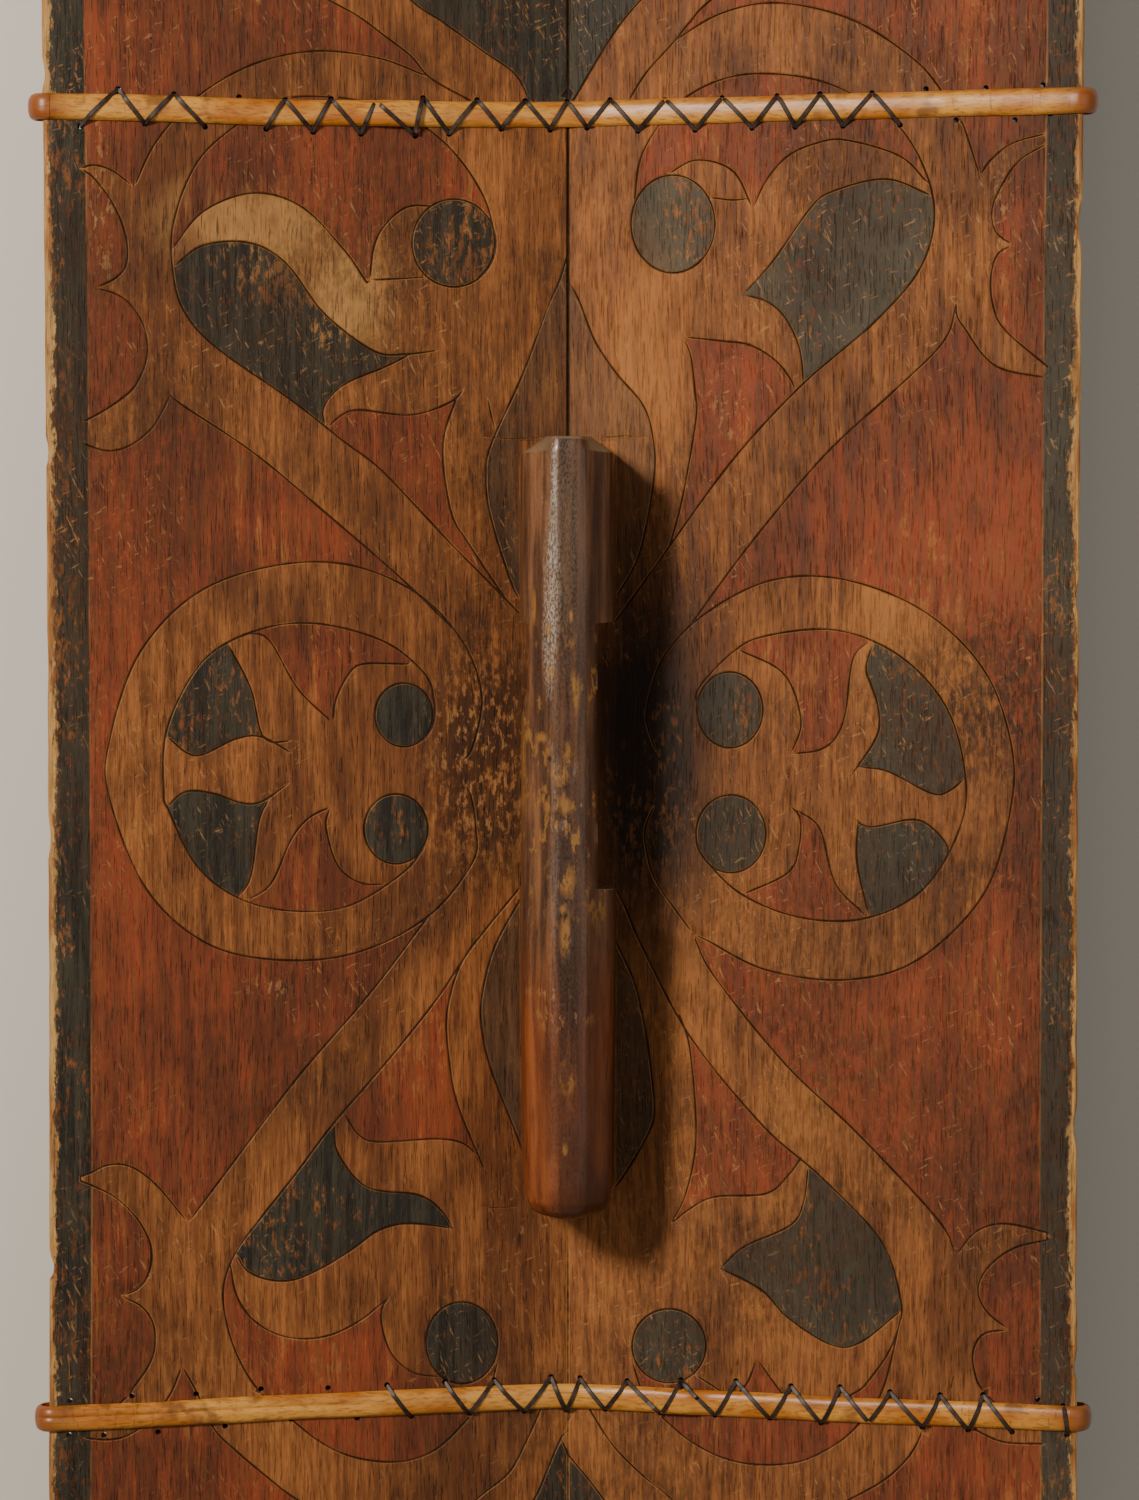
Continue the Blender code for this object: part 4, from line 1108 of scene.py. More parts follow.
# Where the fibre lies on the cane, or on the wood beside it
def overBand(line, x, across, band):
    foot, normal = line(x)
    half = cane["width"] / 2
    lift = cane["thick"] * caneBack(min(1.0, abs(across) / half))
    if abs(across) > half:
        lift = max(0.0, 0.0008 - (abs(across) - half) * 0.8)
    extra = 0.0
    if normal.y > 0.5:
        lapX = onBoard(*band["lap"])[0]
        lapped = (lapX - x) * -band["lapSide"]
        if -0.001 < lapped < cane["lapLength"] + 0.004:
            extra = cane["thick"] * 0.62
        extra += 0.0003
    return foot + normal * (lift * 1.03 + extra + lace["clear"] + lace["thick"] / 2)


def laceMesh(name, places):
    band = bands[name.split("_")[0] + "_cane_band"]
    xs, ys = zip(*band["middle"])
    count, steps = len(places), lace["steps"]
    order = list(range(count)) + list(range(count - 2, 0, -1)) if count > 2 else [0, 1]
    stops = []
    for number, (here, there) in enumerate(zip(order, order[1:] + order[:1])):
        a, b = places[here], places[there]
        goingOut = number < count - 1
        onInner = (min(here, there) % 2 == 0) == goingOut
        line = innerLine if onInner else outerLine
        way = (b - a).normalized()
        flat = Vector((-way.y, way.x, 0)) * (1 if onInner else -1)
        spread = lace["spread"] * (1 if goingOut else -1)
        # down in the first hole, over the cane and down in the next one
        for step in range(-2, steps + 3):
            x, y = a.lerp(b, min(max(step / steps, 0.0), 1.0))
            spot = overBand(line, x, y - float(np.interp(x, xs, ys)), band)
            width = lace["width"]
            if step < 0 or step > steps:
                foot, normal = line(x)
                deep = 0.0006 + 0.0013 * (abs(step) if step < 0 else step - steps)
                spot = foot - normal * deep
                width = lace["holeWidth"]
                x += spread
            elif step in (0, steps):
                foot, normal = line(x)
                spot = foot + normal * 0.0001
                width = lace["holeWidth"] * 1.3
                x += spread * 0.6
            hang = 0.00018 * noise.noise((x * 130, y * 130, count))
            stops.append((Vector((x, y + hang, spot.y)), flat, width))
    points = []
    total = len(stops)
    for i, (place, flat, width) in enumerate(stops):
        along = (stops[(i + 1) % total][0] - stops[i - 1][0]).normalized()
        around = (stops[i - 1][1] + flat * 2 + stops[(i + 1) % total][1])
        across = (around - around.dot(along) * along)
        across = across.normalized() if across.length > 1e-6 else flat
        up = across.cross(along).normalized()
        for u, v in laceSection:
            points.append(place + across * u * width / 2 + up * v * lace["thick"])
    return outward(meshFrom(name, points, ringFaces(total, len(laceSection), looped=True)))


for name, places in stitchPlaces.items():
    piece = newObject("fibre_" + name, laceMesh(name, places))
    softShading(piece, 50)
    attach(piece, "root")
    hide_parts(name)
print("lacing done")


# Materials
def hexColour(code):
    parts = [int(code[i:i + 2], 16) / 255 for i in (1, 3, 5)]
    linear = [part / 12.92 if part <= 0.04045 else ((part + 0.055) / 1.055) ** 2.4 for part in parts]
    return (*linear, 1.0)


# Adds a node; the values go to its inputs in their order, each a plain value or another node's output
def addNode(tree, kind, *values, out=0, **settings):
    node = tree.nodes.new("ShaderNode" + kind)
    for name, value in settings.items():
        setattr(node, name, value)
    for socket, value in zip(node.inputs, values):
        if isinstance(value, bpy.types.NodeSocket):
            tree.links.new(value, socket)
        elif value is not None:
            socket.default_value = value
    return node.outputs[out]


def startMaterial(name):
    material = bpy.data.materials.get(name) or bpy.data.materials.new(name)
    material.use_nodes = True
    tree = material.node_tree
    tree.nodes.clear()
    shader = tree.nodes.new("ShaderNodeBsdfPrincipled")
    tree.links.new(shader.outputs[0], tree.nodes.new("ShaderNodeOutputMaterial").inputs[0])
    return material, tree, shader


# Where a point of the photo lies on a level plane at the height z
def atHeight(px, py, z):
    ray = sightLine(px, py)
    return Vector(view["place"]) + ray * ((z - view["place"][2]) / ray.z)


# A soft spot, 1 inside and 0 outside, for a mark given in the photo's pixels: centre and half sizes
def addSpot(tree, place, mark, z):
    px, py, halfX, halfY = mark
    middle = atHeight(px, py, z)
    wide = abs(atHeight(px + halfX, py, z).x - middle.x)
    high = abs(atHeight(px, py + halfY, z).y - middle.y)
    shifted = addNode(tree, "VectorMath", place, (middle.x, middle.y, 0), operation="SUBTRACT")
    scaled = addNode(tree, "VectorMath", shifted, (1 / wide, 1 / high, 0), operation="MULTIPLY")
    length = addNode(tree, "VectorMath", scaled, out="Value", operation="LENGTH")
    return addNode(tree, "MapRange", length, 0.45, 1.15, 1.0, 0.0)


smooth = {"interpolation_type": "SMOOTHSTEP"}


# Carved hardwood, incised and painted soot black and iron red: streaks and open pores along the board,
# paint rubbed thin along the grain, pale worn edges, dark hand grime round the grip; painted in as well are
# the handle's shadow on its right, shade in the grooves, and a sheen on the black of the right half
def boardWood():
    material, tree, shader = startMaterial("carved hardwood with rubbed black and red paint")
    place = addNode(tree, "TexCoord", out="Object")
    x, y, z = addNode(tree, "SeparateXYZ", place).node.outputs
    zone = addNode(tree, "Attribute", attribute_name="zone")
    black, red = addNode(tree, "SeparateColor", zone).node.outputs[:2]
    cut = addNode(tree, "Attribute", attribute_name="cut", out="Fac")
    fromEdge = addNode(tree, "Attribute", attribute_name="fromEdge", out="Fac")

    # grain, swaying a little along the board; a noise scale is one over the size of its marks in metres,
    # so 260 gives streaks 4 mm wide, and the pores are drawn as coarse as they need to show
    stretched = addNode(tree, "Mapping", place, None, None, (1, 0.6, 1))
    sway = addNode(tree, "TexNoise", stretched, None, 7, 2, 0.5)
    sway = addNode(tree, "Math", sway, 0.5, operation="SUBTRACT")
    sway = addNode(tree, "Math", sway, 0.012, operation="MULTIPLY")
    bend = addNode(tree, "CombineXYZ", sway)
    grain = addNode(tree, "VectorMath", place, bend, operation="ADD")
    broad = addNode(tree, "Mapping", grain, None, None, (1, 0.45, 1))
    along = addNode(tree, "Mapping", grain, None, None, (1, 0.07, 1))
    loose = addNode(tree, "Mapping", place, None, None, (1, 0.40, 1))
    tone = addNode(tree, "TexNoise", broad, None, 14, 6, 0.68)
    streak = addNode(tree, "TexNoise", along, None, 260, 6, 0.75)
    fine = addNode(tree, "TexNoise", along, None, 700, 4, 0.65)
    pore = addNode(tree, "TexNoise", along, None, 1500, 2, 0.5)
    fleck = addNode(tree, "TexNoise", loose, None, 430, 5, 0.72)
    patch = addNode(tree, "TexNoise", stretched, None, 24, 5, 0.65)

    # bare wood
    figure = addNode(tree, "Mix", 0.55, None, streak, tone)
    share = addNode(tree, "MapRange", figure, 0.41, 0.59, **smooth)
    wood = addNode(tree, "MixRGB", share, hexColour("#5a3118"), hexColour("#a26534"))
    share = addNode(tree, "MapRange", fine, 0.46, 0.60, 0.0, 0.60, **smooth)
    wood = addNode(tree, "MixRGB", share, wood, hexColour("#6e3d1a"))
    share = addNode(tree, "MapRange", tone, 0.56, 0.68, 0.0, 0.4, **smooth)
    wood = addNode(tree, "MixRGB", share, wood, hexColour("#b27438"))
    leaf = addSpot(tree, place, (255, 225, 105, 60), 0.045)
    tail = addSpot(tree, place, (345, 295, 55, 75), 0.040)
    leaf = addNode(tree, "Math", leaf, tail, operation="MAXIMUM")
    share = addNode(tree, "MapRange", patch, 0.35, 0.60, 0.25, 0.75, **smooth)
    leaf = addNode(tree, "Math", leaf, share, operation="MULTIPLY")
    wood = addNode(tree, "MixRGB", leaf, wood, hexColour("#bb8a50"))

    # paint
    share = addNode(tree, "MapRange", figure, 0.41, 0.59, **smooth)
    redPaint = addNode(tree, "MixRGB", share, hexColour("#582a17"), hexColour("#904224"))
    share = addNode(tree, "MapRange", fine, 0.46, 0.62, 0.0, 0.55, **smooth)
    redPaint = addNode(tree, "MixRGB", share, redPaint, hexColour("#6c3c20"))
    share = addNode(tree, "MapRange", streak, 0.40, 0.60, **smooth)
    blackPaint = addNode(tree, "MixRGB", share, hexColour("#1e1c16"), hexColour("#3b362b"))
    # the black turns greyer over the right half and its upper right: partly faded paint, partly a painted
    # sheen where that half faces the light
    share = addNode(tree, "MapRange", tone, 0.35, 0.66, **smooth)
    fadedAndSheen = addNode(tree, "MixRGB", share, hexColour("#3a342a"), hexColour("#5e5341"))
    share = addNode(tree, "MapRange", x, -0.01, 0.05, 0.05, 0.40, **smooth)
    pale = addSpot(tree, place, (830, 260, 260, 330), 0.045)
    pale = addNode(tree, "Math", pale, 0.5, operation="MULTIPLY")
    share = addNode(tree, "Math", share, pale, operation="ADD")
    blackPaint = addNode(tree, "MixRGB", share, blackPaint, fadedAndSheen)

    # how much of the paint is left, rubbed off in flecks along the grain
    rub = addNode(tree, "Mix", 0.5, None, streak, fleck)
    rub = addNode(tree, "Mix", 0.36, None, rub, patch)
    redLeft = addNode(tree, "MapRange", rub, 0.535, 0.590, 1.0, 0.10, **smooth)
    thin = addNode(tree, "MapRange", fine, 0.45, 0.66, 1.0, 0.60, **smooth)
    redLeft = addNode(tree, "Math", redLeft, thin, operation="MULTIPLY")
    redLeft = addNode(tree, "Math", redLeft, red, operation="MULTIPLY")
    surface = addNode(tree, "MixRGB", redLeft, wood, redPaint)
    blackRub = addNode(tree, "Mix", 0.38, None, fleck, patch)
    for *mark, amount in ((285, 285, 60, 30, 0.045), (300, 1215, 90, 60, 0.035), (67, 560, 30, 420, 0.045)):
        bared = addSpot(tree, place, mark, 0.040)
        bared = addNode(tree, "Math", bared, amount, operation="MULTIPLY")
        blackRub = addNode(tree, "Math", blackRub, bared, operation="ADD")
    blackLeft = addNode(tree, "MapRange", blackRub, 0.535, 0.620, 1.0, 0.15, **smooth)
    # beside the handle only a thin dark stain is left
    stained = addSpot(tree, place, (592, 440, 110, 230), 0.040)
    stained = addNode(tree, "Math", stained, 0.60, operation="MULTIPLY")
    below = addSpot(tree, place, (560, 1035, 130, 230), 0.040)
    below = addNode(tree, "Math", below, 0.34, operation="MULTIPLY")
    stained = addNode(tree, "Math", stained, below, operation="MAXIMUM")
    stained = addNode(tree, "Math", 1.0, stained, operation="SUBTRACT")
    blackLeft = addNode(tree, "Math", blackLeft, stained, operation="MULTIPLY")
    blackLeft = addNode(tree, "Math", blackLeft, black, operation="MULTIPLY")
    surface = addNode(tree, "MixRGB", blackLeft, surface, blackPaint)

    # age: brown dirt in clouds, heavier in some places; the heavier spots on the right ring and towards the
    # lower right are also painted shade, where the light falls off
    soil = addNode(tree, "TexNoise", place, None, 13, 7, 0.68)
    share = addNode(tree, "MapRange", soil, 0.42, 0.66, 0.0, 0.60, **smooth)
    for *mark, amount in ((110, 450, 130, 230, 0.45), (990, 760, 90, 200, 0.35), (880, 1150, 220, 150, 0.22),
                          (470, 330, 90, 150, 0.35), (1090, 1200, 130, 300, 0.25), (250, 420, 130, 90, 0.30)):
        dirtAndShade = addSpot(tree, place, mark, 0.040)
        dirtAndShade = addNode(tree, "Math", dirtAndShade, amount, operation="MULTIPLY")
        share = addNode(tree, "Math", share, dirtAndShade, operation="ADD")
    fineSoil = addNode(tree, "MapRange", fleck, 0.38, 0.58, 0.35, 1.0, **smooth)
    share = addNode(tree, "Math", share, fineSoil, operation="MULTIPLY", use_clamp=True)
    surface = addNode(tree, "MixRGB", share, surface, hexColour("#3c2312"))

    # open pores, more in some places than in others
    share = addNode(tree, "MapRange", pore, 0.59, 0.72, 0.0, 0.8, **smooth)
    crowd = addNode(tree, "MapRange", tone, 0.35, 0.62, 1.0, 0.25, **smooth)
    share = addNode(tree, "Math", share, crowd, operation="MULTIPLY")
    surface = addNode(tree, "MixRGB", share, surface, hexColour("#2b170b"))

    # scratches and flakes, mostly pale, in loose bunches
    bunch = addNode(tree, "TexNoise", place, None, 17, 2, 0.5)
    bunch = addNode(tree, "MapRange", bunch, 0.42, 0.62, **smooth)
    turned = addNode(tree, "Mapping", place, None, (0, 0, 0.45), (1, 9, 1), vector_type="TEXTURE")
    scratch = addNode(tree, "TexNoise", turned, None, 900, 3, 0.6)
    scratch = addNode(tree, "MapRange", scratch, 0.625, 0.69)
    turned = addNode(tree, "Mapping", place, None, (0, 0, -1.15), (1, 11, 1), vector_type="TEXTURE")
    second = addNode(tree, "TexNoise", turned, None, 760, 3, 0.6)
    second = addNode(tree, "MapRange", second, 0.635, 0.70)
    scratch = addNode(tree, "Math", scratch, second, operation="MAXIMUM")
    scratch = addNode(tree, "Math", scratch, bunch, operation="MULTIPLY")
    flakes = addNode(tree, "MapRange", fleck, 0.53, 0.60, **smooth)
    for mark in ((270, 990, 26, 16), (730, 405, 20, 45), (105, 210, 14, 90), (1000, 215, 16, 70),
                 (478, 765, 62, 125)):
        spot = addSpot(tree, place, mark, 0.045)
        spot = addNode(tree, "Math", spot, flakes, operation="MULTIPLY")
        scratch = addNode(tree, "Math", scratch, spot, operation="MAXIMUM")
    share = addNode(tree, "Math", scratch, 0.52, operation="MULTIPLY")
    surface = addNode(tree, "MixRGB", share, surface, hexColour("#b48350"))

    # dark hand grime beside the grip, broken by rubbed spots; on the right of the grip the spot is also the
    # handle's shadow, painted in
    mottle = addNode(tree, "Mix", 0.42, None, fleck, patch)
    left = addSpot(tree, place, (490, 755, 75, 195), 0.020)
    # painted shadow: the right spot is nearly black, standing for the handle's cast shadow as well as grime
    right = addSpot(tree, place, (645, 765, 82, 215), 0.020)
    leftBreak = addNode(tree, "MapRange", mottle, 0.465, 0.505, 0.62, 0.0, **smooth)
    rightBreak = addNode(tree, "MapRange", mottle, 0.52, 0.58, 0.97, 0.40, **smooth)
    left = addNode(tree, "Math", left, leftBreak, operation="MULTIPLY")
    right = addNode(tree, "Math", right, rightBreak, operation="MULTIPLY")
    grimeAndShadow = addNode(tree, "Math", left, right, operation="MAXIMUM")
    inside = addNode(tree, "MapRange", z, 0.012, 0.018)
    grimeAndShadow = addNode(tree, "Math", grimeAndShadow, inside, operation="MULTIPLY")
    surface = addNode(tree, "MixRGB", grimeAndShadow, surface, hexColour("#20140b"))

    # bare worn edge; grooves painted dark below as their shade, and pale at their lips, where they are rubbed
    # bare and a painted highlight lies
    wander = addNode(tree, "Math", patch, 0.5, operation="SUBTRACT")
    wander = addNode(tree, "Math", wander, 0.009, operation="MULTIPLY")
    worn = addNode(tree, "Math", fromEdge, wander, operation="ADD")
    flecked = addNode(tree, "Math", fleck, -0.5, operation="ADD")
    flecked = addNode(tree, "Math", flecked, 0.010, operation="MULTIPLY")
    worn = addNode(tree, "Math", worn, flecked, operation="ADD")
    bare = addNode(tree, "MapRange", worn, 0.0022, 0.0038, 1.0, 0.0, **smooth)
    share = addNode(tree, "MapRange", fine, 0.34, 0.58, 0.6, 1.0, **smooth)
    bare = addNode(tree, "Math", bare, share, operation="MULTIPLY")
    share = addNode(tree, "MapRange", streak, 0.4, 0.6, **smooth)
    pale = addNode(tree, "MixRGB", share, hexColour("#94602f"), hexColour("#c59a5d"))
    surface = addNode(tree, "MixRGB", bare, surface, pale)
    lipWearAndHighlight = addNode(tree, "MapRange", cut, 0.02, 0.20, **smooth)
    inner = addNode(tree, "MapRange", cut, 0.24, 0.42, 1.0, 0.0, **smooth)
    share = addNode(tree, "MapRange", patch, 0.40, 0.60, 0.15, 0.75, **smooth)
    lipWearAndHighlight = addNode(tree, "Math", lipWearAndHighlight, inner, operation="MULTIPLY")
    lipWearAndHighlight = addNode(tree, "Math", lipWearAndHighlight, share, operation="MULTIPLY")
    surface = addNode(tree, "MixRGB", lipWearAndHighlight, surface, hexColour("#a9743c"))
    # painted shade at the bottom of the grooves
    share = addNode(tree, "MapRange", cut, 0.20, 0.60, 0.0, 0.90, **smooth)
    surface = addNode(tree, "MixRGB", share, surface, hexColour("#211208"))

    height = addNode(tree, "Mix", 0.5, None, fine, streak)
    pit = addNode(tree, "MapRange", pore, 0.58, 0.70, 0.0, 0.55)
    height = addNode(tree, "Math", height, pit, operation="SUBTRACT")
    bump = addNode(tree, "Bump", 0.9, 0.00055, None, height)
    tree.links.new(surface, shader.inputs["Base Color"])
    tree.links.new(addNode(tree, "MapRange", streak, 0.3, 0.7, 0.55, 0.72), shader.inputs["Roughness"])
    tree.links.new(bump, shader.inputs["Normal"])
    shader.inputs["Specular IOR Level"].default_value = 0.28
    return material


# The handle's wood: dark and polished by hands above, reddish below, ochre where rubbed or chipped,
# with painted shade on its right side, a painted grey sheen along its front, painted glints on its left arris
# and paler cut faces above, partly painted light
def handleWood():
    material, tree, shader = startMaterial("handle hardwood polished by hands")
    front = 0.072  # height of its front above the floor
    place = addNode(tree, "TexCoord", out="Object")
    x, y = addNode(tree, "SeparateXYZ", place).node.outputs[:2]
    along = addNode(tree, "Mapping", place, None, None, (1, 0.05, 0.6))
    loose = addNode(tree, "Mapping", place, None, None, (1, 0.40, 1))
    tone = addNode(tree, "TexNoise", loose, None, 22, 4, 0.6)
    streak = addNode(tree, "TexNoise", along, None, 300, 5, 0.65)
    fine = addNode(tree, "TexNoise", along, None, 1100, 3, 0.6)
    fleck = addNode(tree, "TexNoise", loose, None, 380, 5, 0.68)
    speckle = addNode(tree, "TexNoise", loose, None, 1500, 4, 0.75)
    patch = addNode(tree, "TexNoise", loose, None, 70, 4, 0.6)

    figure = addNode(tree, "Mix", 0.45, None, streak, tone)
    share = addNode(tree, "MapRange", figure, 0.37, 0.62, **smooth)
    upper = addNode(tree, "MixRGB", share, hexColour("#44291a"), hexColour("#8f5f3c"))
    lower = addNode(tree, "MixRGB", share, hexColour("#6a3114"), hexColour("#96532a"))
    wander = addNode(tree, "Math", patch, 0.05, operation="MULTIPLY")
    stain = addNode(tree, "MapRange", tone, 0.46, 0.62, 0.0, 0.75, **smooth)
    lower = addNode(tree, "MixRGB", stain, lower, hexColour("#42200f"))
    level = addNode(tree, "Math", y, wander, operation="ADD")
    share = addNode(tree, "MapRange", level, -0.085, -0.030, **smooth)
    wood = addNode(tree, "MixRGB", share, lower, upper)

    # painted shade: darker from its front to its right side, which is turned from the light
    share = addNode(tree, "MapRange", x, -0.0065, 0.0020, 0.0, 0.50, **smooth)
    wood = addNode(tree, "MixRGB", share, wood, hexColour("#2e170b"))

    # painted sheen and highlight: a grey sheen on the front, with glints densest along the left arris where
    # the light catches it
    paintedSheen = addSpot(tree, place, (566, 540, 22, 130), front)
    share = addNode(tree, "MapRange", speckle, 0.40, 0.62, 0.10, 0.60, **smooth)
    paintedSheen = addNode(tree, "Math", paintedSheen, share, operation="MULTIPLY")
    wood = addNode(tree, "MixRGB", paintedSheen, wood, hexColour("#5c5040"))
    # painted highlight: pale grey glints along the left arris
    for mark in ((552, 585, 9, 75), (554, 480, 4, 55), (549, 640, 7, 60)):
        arris = addSpot(tree, place, mark, front)
        share = addNode(tree, "MapRange", speckle, 0.44, 0.60, 0.05, 0.85, **smooth)
        arris = addNode(tree, "Math", arris, share, operation="MULTIPLY")
        wood = addNode(tree, "MixRGB", arris, wood, hexColour("#a39a8e"))

    # dark stain on the front of the lower block
    dark = addSpot(tree, place, (563, 975, 36, 125), front)
    share = addNode(tree, "MapRange", figure, 0.40, 0.60, 0.85, 0.30, **smooth)
    dark = addNode(tree, "Math", dark, share, operation="MULTIPLY")
    wood = addNode(tree, "MixRGB", dark, wood, hexColour("#2c1a0f"))

    # rubbed through to ochre wood: small flecks in the grip, and the larger worn places
    rubbed = addNode(tree, "Mix", 0.45, None, fleck, patch)
    low = addNode(tree, "MapRange", y, -0.075, -0.045, **smooth)
    high = addNode(tree, "MapRange", y, 0.030, 0.060, 1.0, 0.0, **smooth)
    wear = addNode(tree, "Math", low, high, operation="MULTIPLY")
    share = addNode(tree, "MapRange", rubbed, 0.545, 0.600, 0.0, 0.75, **smooth)
    wear = addNode(tree, "Math", wear, share, operation="MULTIPLY")
    marks = ((550, 676, 5, 11), (541, 738, 7, 6), (560, 773, 12, 11), (568, 758, 6, 18), (547, 807, 4, 8),
             (565, 806, 7, 10), (548, 872, 5, 12), (566, 880, 10, 17), (563, 910, 4, 7), (575, 694, 6, 24),
             (522, 772, 4, 60), (534, 606, 2.4, 20), (548, 630, 3.6, 8), (547, 502, 7, 3), (571, 616, 2, 7),
             (531, 910, 3, 30), (565, 935, 6, 30), (567, 1077, 9, 18), (565, 1149, 3, 7))
    grainBreak = addNode(tree, "MapRange", rubbed, 0.45, 0.53, 0.05, 0.85, **smooth)
    for mark in marks:
        spot = addSpot(tree, place, mark, front)
        spot = addNode(tree, "Math", spot, grainBreak, operation="MULTIPLY")
        wear = addNode(tree, "Math", wear, spot, operation="MAXIMUM")
    wood = addNode(tree, "MixRGB", wear, wood, hexColour("#94672f"))
    flecked = addNode(tree, "MapRange", rubbed, 0.47, 0.53, 0.0, 0.80, **smooth)
    for mark in ((560, 993, 34, 8), (562, 1018, 34, 14)):
        spot = addSpot(tree, place, mark, front)
        spot = addNode(tree, "Math", spot, flecked, operation="MULTIPLY")
        wood = addNode(tree, "MixRGB", spot, wood, hexColour("#9c6a3a"))
    hole = addSpot(tree, place, (550, 759, 2.2, 3.2), front)
    wood = addNode(tree, "MixRGB", hole, wood, hexColour("#20170f"))
    share = addNode(tree, "MapRange", fine, 0.55, 0.70, 0.0, 0.55, **smooth)
    wood = addNode(tree, "MixRGB", share, wood, hexColour("#1f110a"))

    # the cut faces of its upper end and shoulders are paler and greyer: bared end grain, and painted light on
    # those turned up to the lamp
    normal = addNode(tree, "NewGeometry", out="Normal")
    lengthwise = addNode(tree, "SeparateXYZ", normal, out="Y")
    slant = addNode(tree, "Math", lengthwise, operation="ABSOLUTE")
    share = addNode(tree, "MapRange", slant, 0.22, 0.50, 0.0, 0.65, **smooth)
    high = addNode(tree, "MapRange", y, -0.10, -0.06, **smooth)
    share = addNode(tree, "Math", share, high, operation="MULTIPLY")
    wood = addNode(tree, "MixRGB", share, wood, hexColour("#7d6a54"))
    height = addNode(tree, "Mix", 0.5, None, streak, fleck)
    bump = addNode(tree, "Bump", 0.45, 0.00032, None, height)
    tree.links.new(wood, shader.inputs["Base Color"])
    gloss = addNode(tree, "MapRange", speckle, 0.38, 0.62, 0.24, 0.52, **smooth)
    tree.links.new(gloss, shader.inputs["Roughness"])
    tree.links.new(bump, shader.inputs["Normal"])
    shader.inputs["Specular IOR Level"].default_value = 0.5
    return material


# Split cane with its skin on: fine fibre lines, a satin gloss, darker and crazed where it is bent
def caneSkin():
    material, tree, shader = startMaterial("split cane with its skin")
    place = addNode(tree, "TexCoord", out="Object")
    x = addNode(tree, "SeparateXYZ", place)
    off = addNode(tree, "Math", x, operation="ABSOLUTE")
    along = addNode(tree, "Mapping", place, None, None, (0.02, 1, 1))
    squeezed = addNode(tree, "Mapping", place, None, None, (1, 3, 1))
    across = addNode(tree, "Mapping", place, None, None, (1, 0.15, 1))
    fibre = addNode(tree, "TexNoise", along, None, 950, 4, 0.65)
    tone = addNode(tree, "TexNoise", squeezed, None, 28, 4, 0.6)
    craze = addNode(tree, "TexNoise", across, None, 700, 3, 0.6)
    stain = addNode(tree, "TexNoise", place, None, 60, 3, 0.6)
    share = addNode(tree, "MapRange", tone, 0.35, 0.65, **smooth)
    skin = addNode(tree, "MixRGB", share, hexColour("#b0681f"), hexColour("#d79a45"))
    share = addNode(tree, "MapRange", fibre, 0.48, 0.66, 0.0, 0.65, **smooth)
    skin = addNode(tree, "MixRGB", share, skin, hexColour("#87480f"))
    share = addNode(tree, "MapRange", off, 0.182, 0.202, 0.0, 0.85, **smooth)
    skin = addNode(tree, "MixRGB", share, skin, hexColour("#7c3a14"))
    share = addNode(tree, "MapRange", craze, 0.60, 0.68, 0.0, 0.55, **smooth)
    outer = addNode(tree, "MapRange", off, 0.10, 0.17, **smooth)
    share = addNode(tree, "Math", share, outer, operation="MULTIPLY")
    skin = addNode(tree, "MixRGB", share, skin, hexColour("#7a4314"))
    share = addNode(tree, "MapRange", stain, 0.54, 0.67, 0.0, 0.75, **smooth)
    outer = addNode(tree, "MapRange", off, 0.05, 0.14, 0.3, 1.0, **smooth)
    share = addNode(tree, "Math", share, outer, operation="MULTIPLY")
    skin = addNode(tree, "MixRGB", share, skin, hexColour("#70421f"))
    bump = addNode(tree, "Bump", 0.4, 0.0002, None, fibre)
    tree.links.new(skin, shader.inputs["Base Color"])
    tree.links.new(bump, shader.inputs["Normal"])
    shader.inputs["Roughness"].default_value = 0.36
    shader.inputs["Specular IOR Level"].default_value = 0.5
    return material


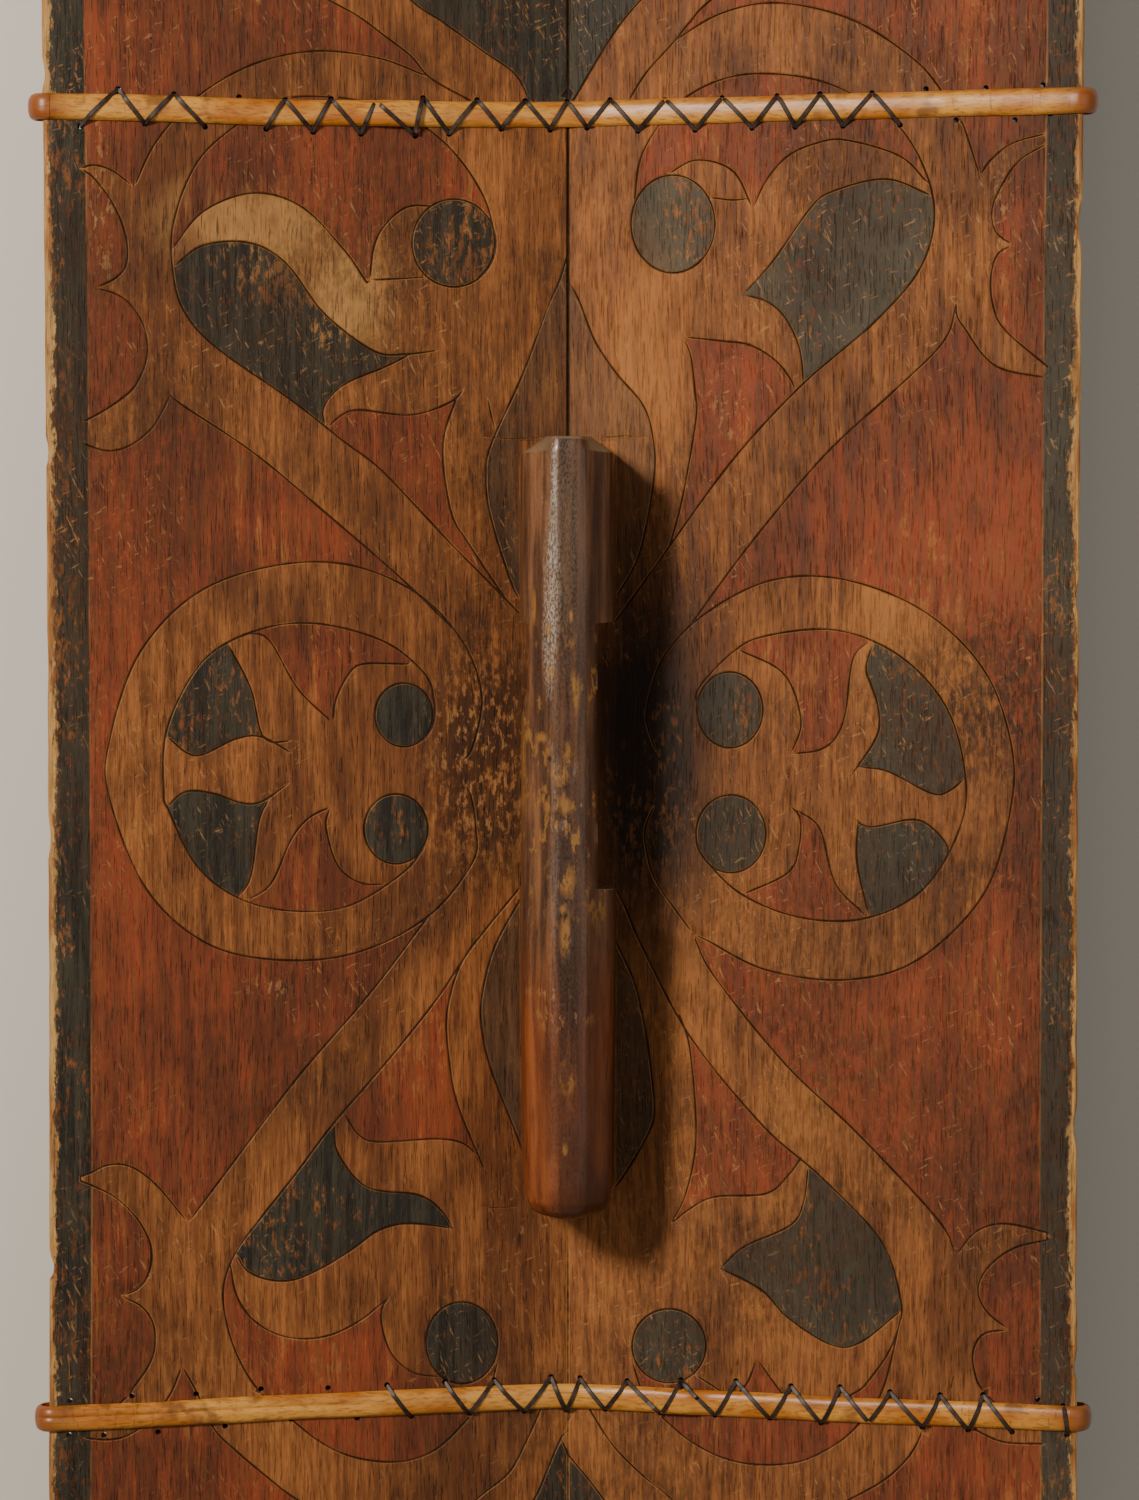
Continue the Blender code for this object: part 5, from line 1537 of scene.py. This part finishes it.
# Dark split fibre of the lacing, a little glossy along its middle
def laceFibre():
    material, tree, shader = startMaterial("dark split palm fibre")
    place = addNode(tree, "TexCoord", out="Object")
    tone = addNode(tree, "TexNoise", place, None, 300, 3, 0.6)
    share = addNode(tree, "MapRange", tone, 0.35, 0.65)
    fibre = addNode(tree, "MixRGB", share, hexColour("#1b1310"), hexColour("#3f3028"))
    tree.links.new(fibre, shader.inputs["Base Color"])
    shader.inputs["Roughness"].default_value = 0.48
    shader.inputs["Specular IOR Level"].default_value = 0.45
    return material


# Matt paper that the shield lies on, with no gloss at all
def mattPaper():
    material, tree, shader = startMaterial("pale matt paper")
    shader.inputs["Base Color"].default_value = hexColour("#d6d4cf")
    shader.inputs["Roughness"].default_value = 0.9
    return material


boardWood()
handleWood()
for piece in canePieces.values():
    piece.data.materials.append(caneSkin())
for piece in bpy.data.objects:
    if piece.name.startswith("fibre_"):
        piece.data.materials.append(laceFibre())
print("materials done")

# Stage: pale floor, one broad soft light from the upper left, a weak fill
floorShape = bmesh.new()
bmesh.ops.create_grid(floorShape, x_segments=1, y_segments=1, size=20.0)
floorMesh = bpy.data.meshes.new("floor")
floorShape.to_mesh(floorMesh)
floorShape.free()
floor = newObject("floor", floorMesh)
floor.location.z = -0.0004
floor.data.materials.append(mattPaper())

lights = {"key": {"place": (-0.95, 0.75, 1.65), "size": 0.34, "power": 42.0, "colour": "#fff3e2"},
          "fill": {"place": (1.3, 0.2, 2.1), "size": 1.6, "power": 8.0, "colour": "#fbf4ea"}}
for name, values in lights.items():
    light = bpy.data.lights.new(name, "AREA")
    light.size = values["size"]
    light.energy = values["power"]
    light.color = hexColour(values["colour"])[:3]
    lamp = bpy.data.objects.new(name, light)
    bpy.context.scene.collection.objects.link(lamp)
    lamp.location = values["place"]
    way = Vector((0, 0.05, 0.03)) - Vector(values["place"])
    lamp.rotation_euler = way.to_track_quat("-Z", "Y").to_euler()
world = bpy.data.worlds.new("soft room")
bpy.context.scene.world = world
world.use_nodes = True
background = world.node_tree.nodes["Background"]
background.inputs["Color"].default_value = hexColour("#e6dfd0")
background.inputs["Strength"].default_value = 0.26
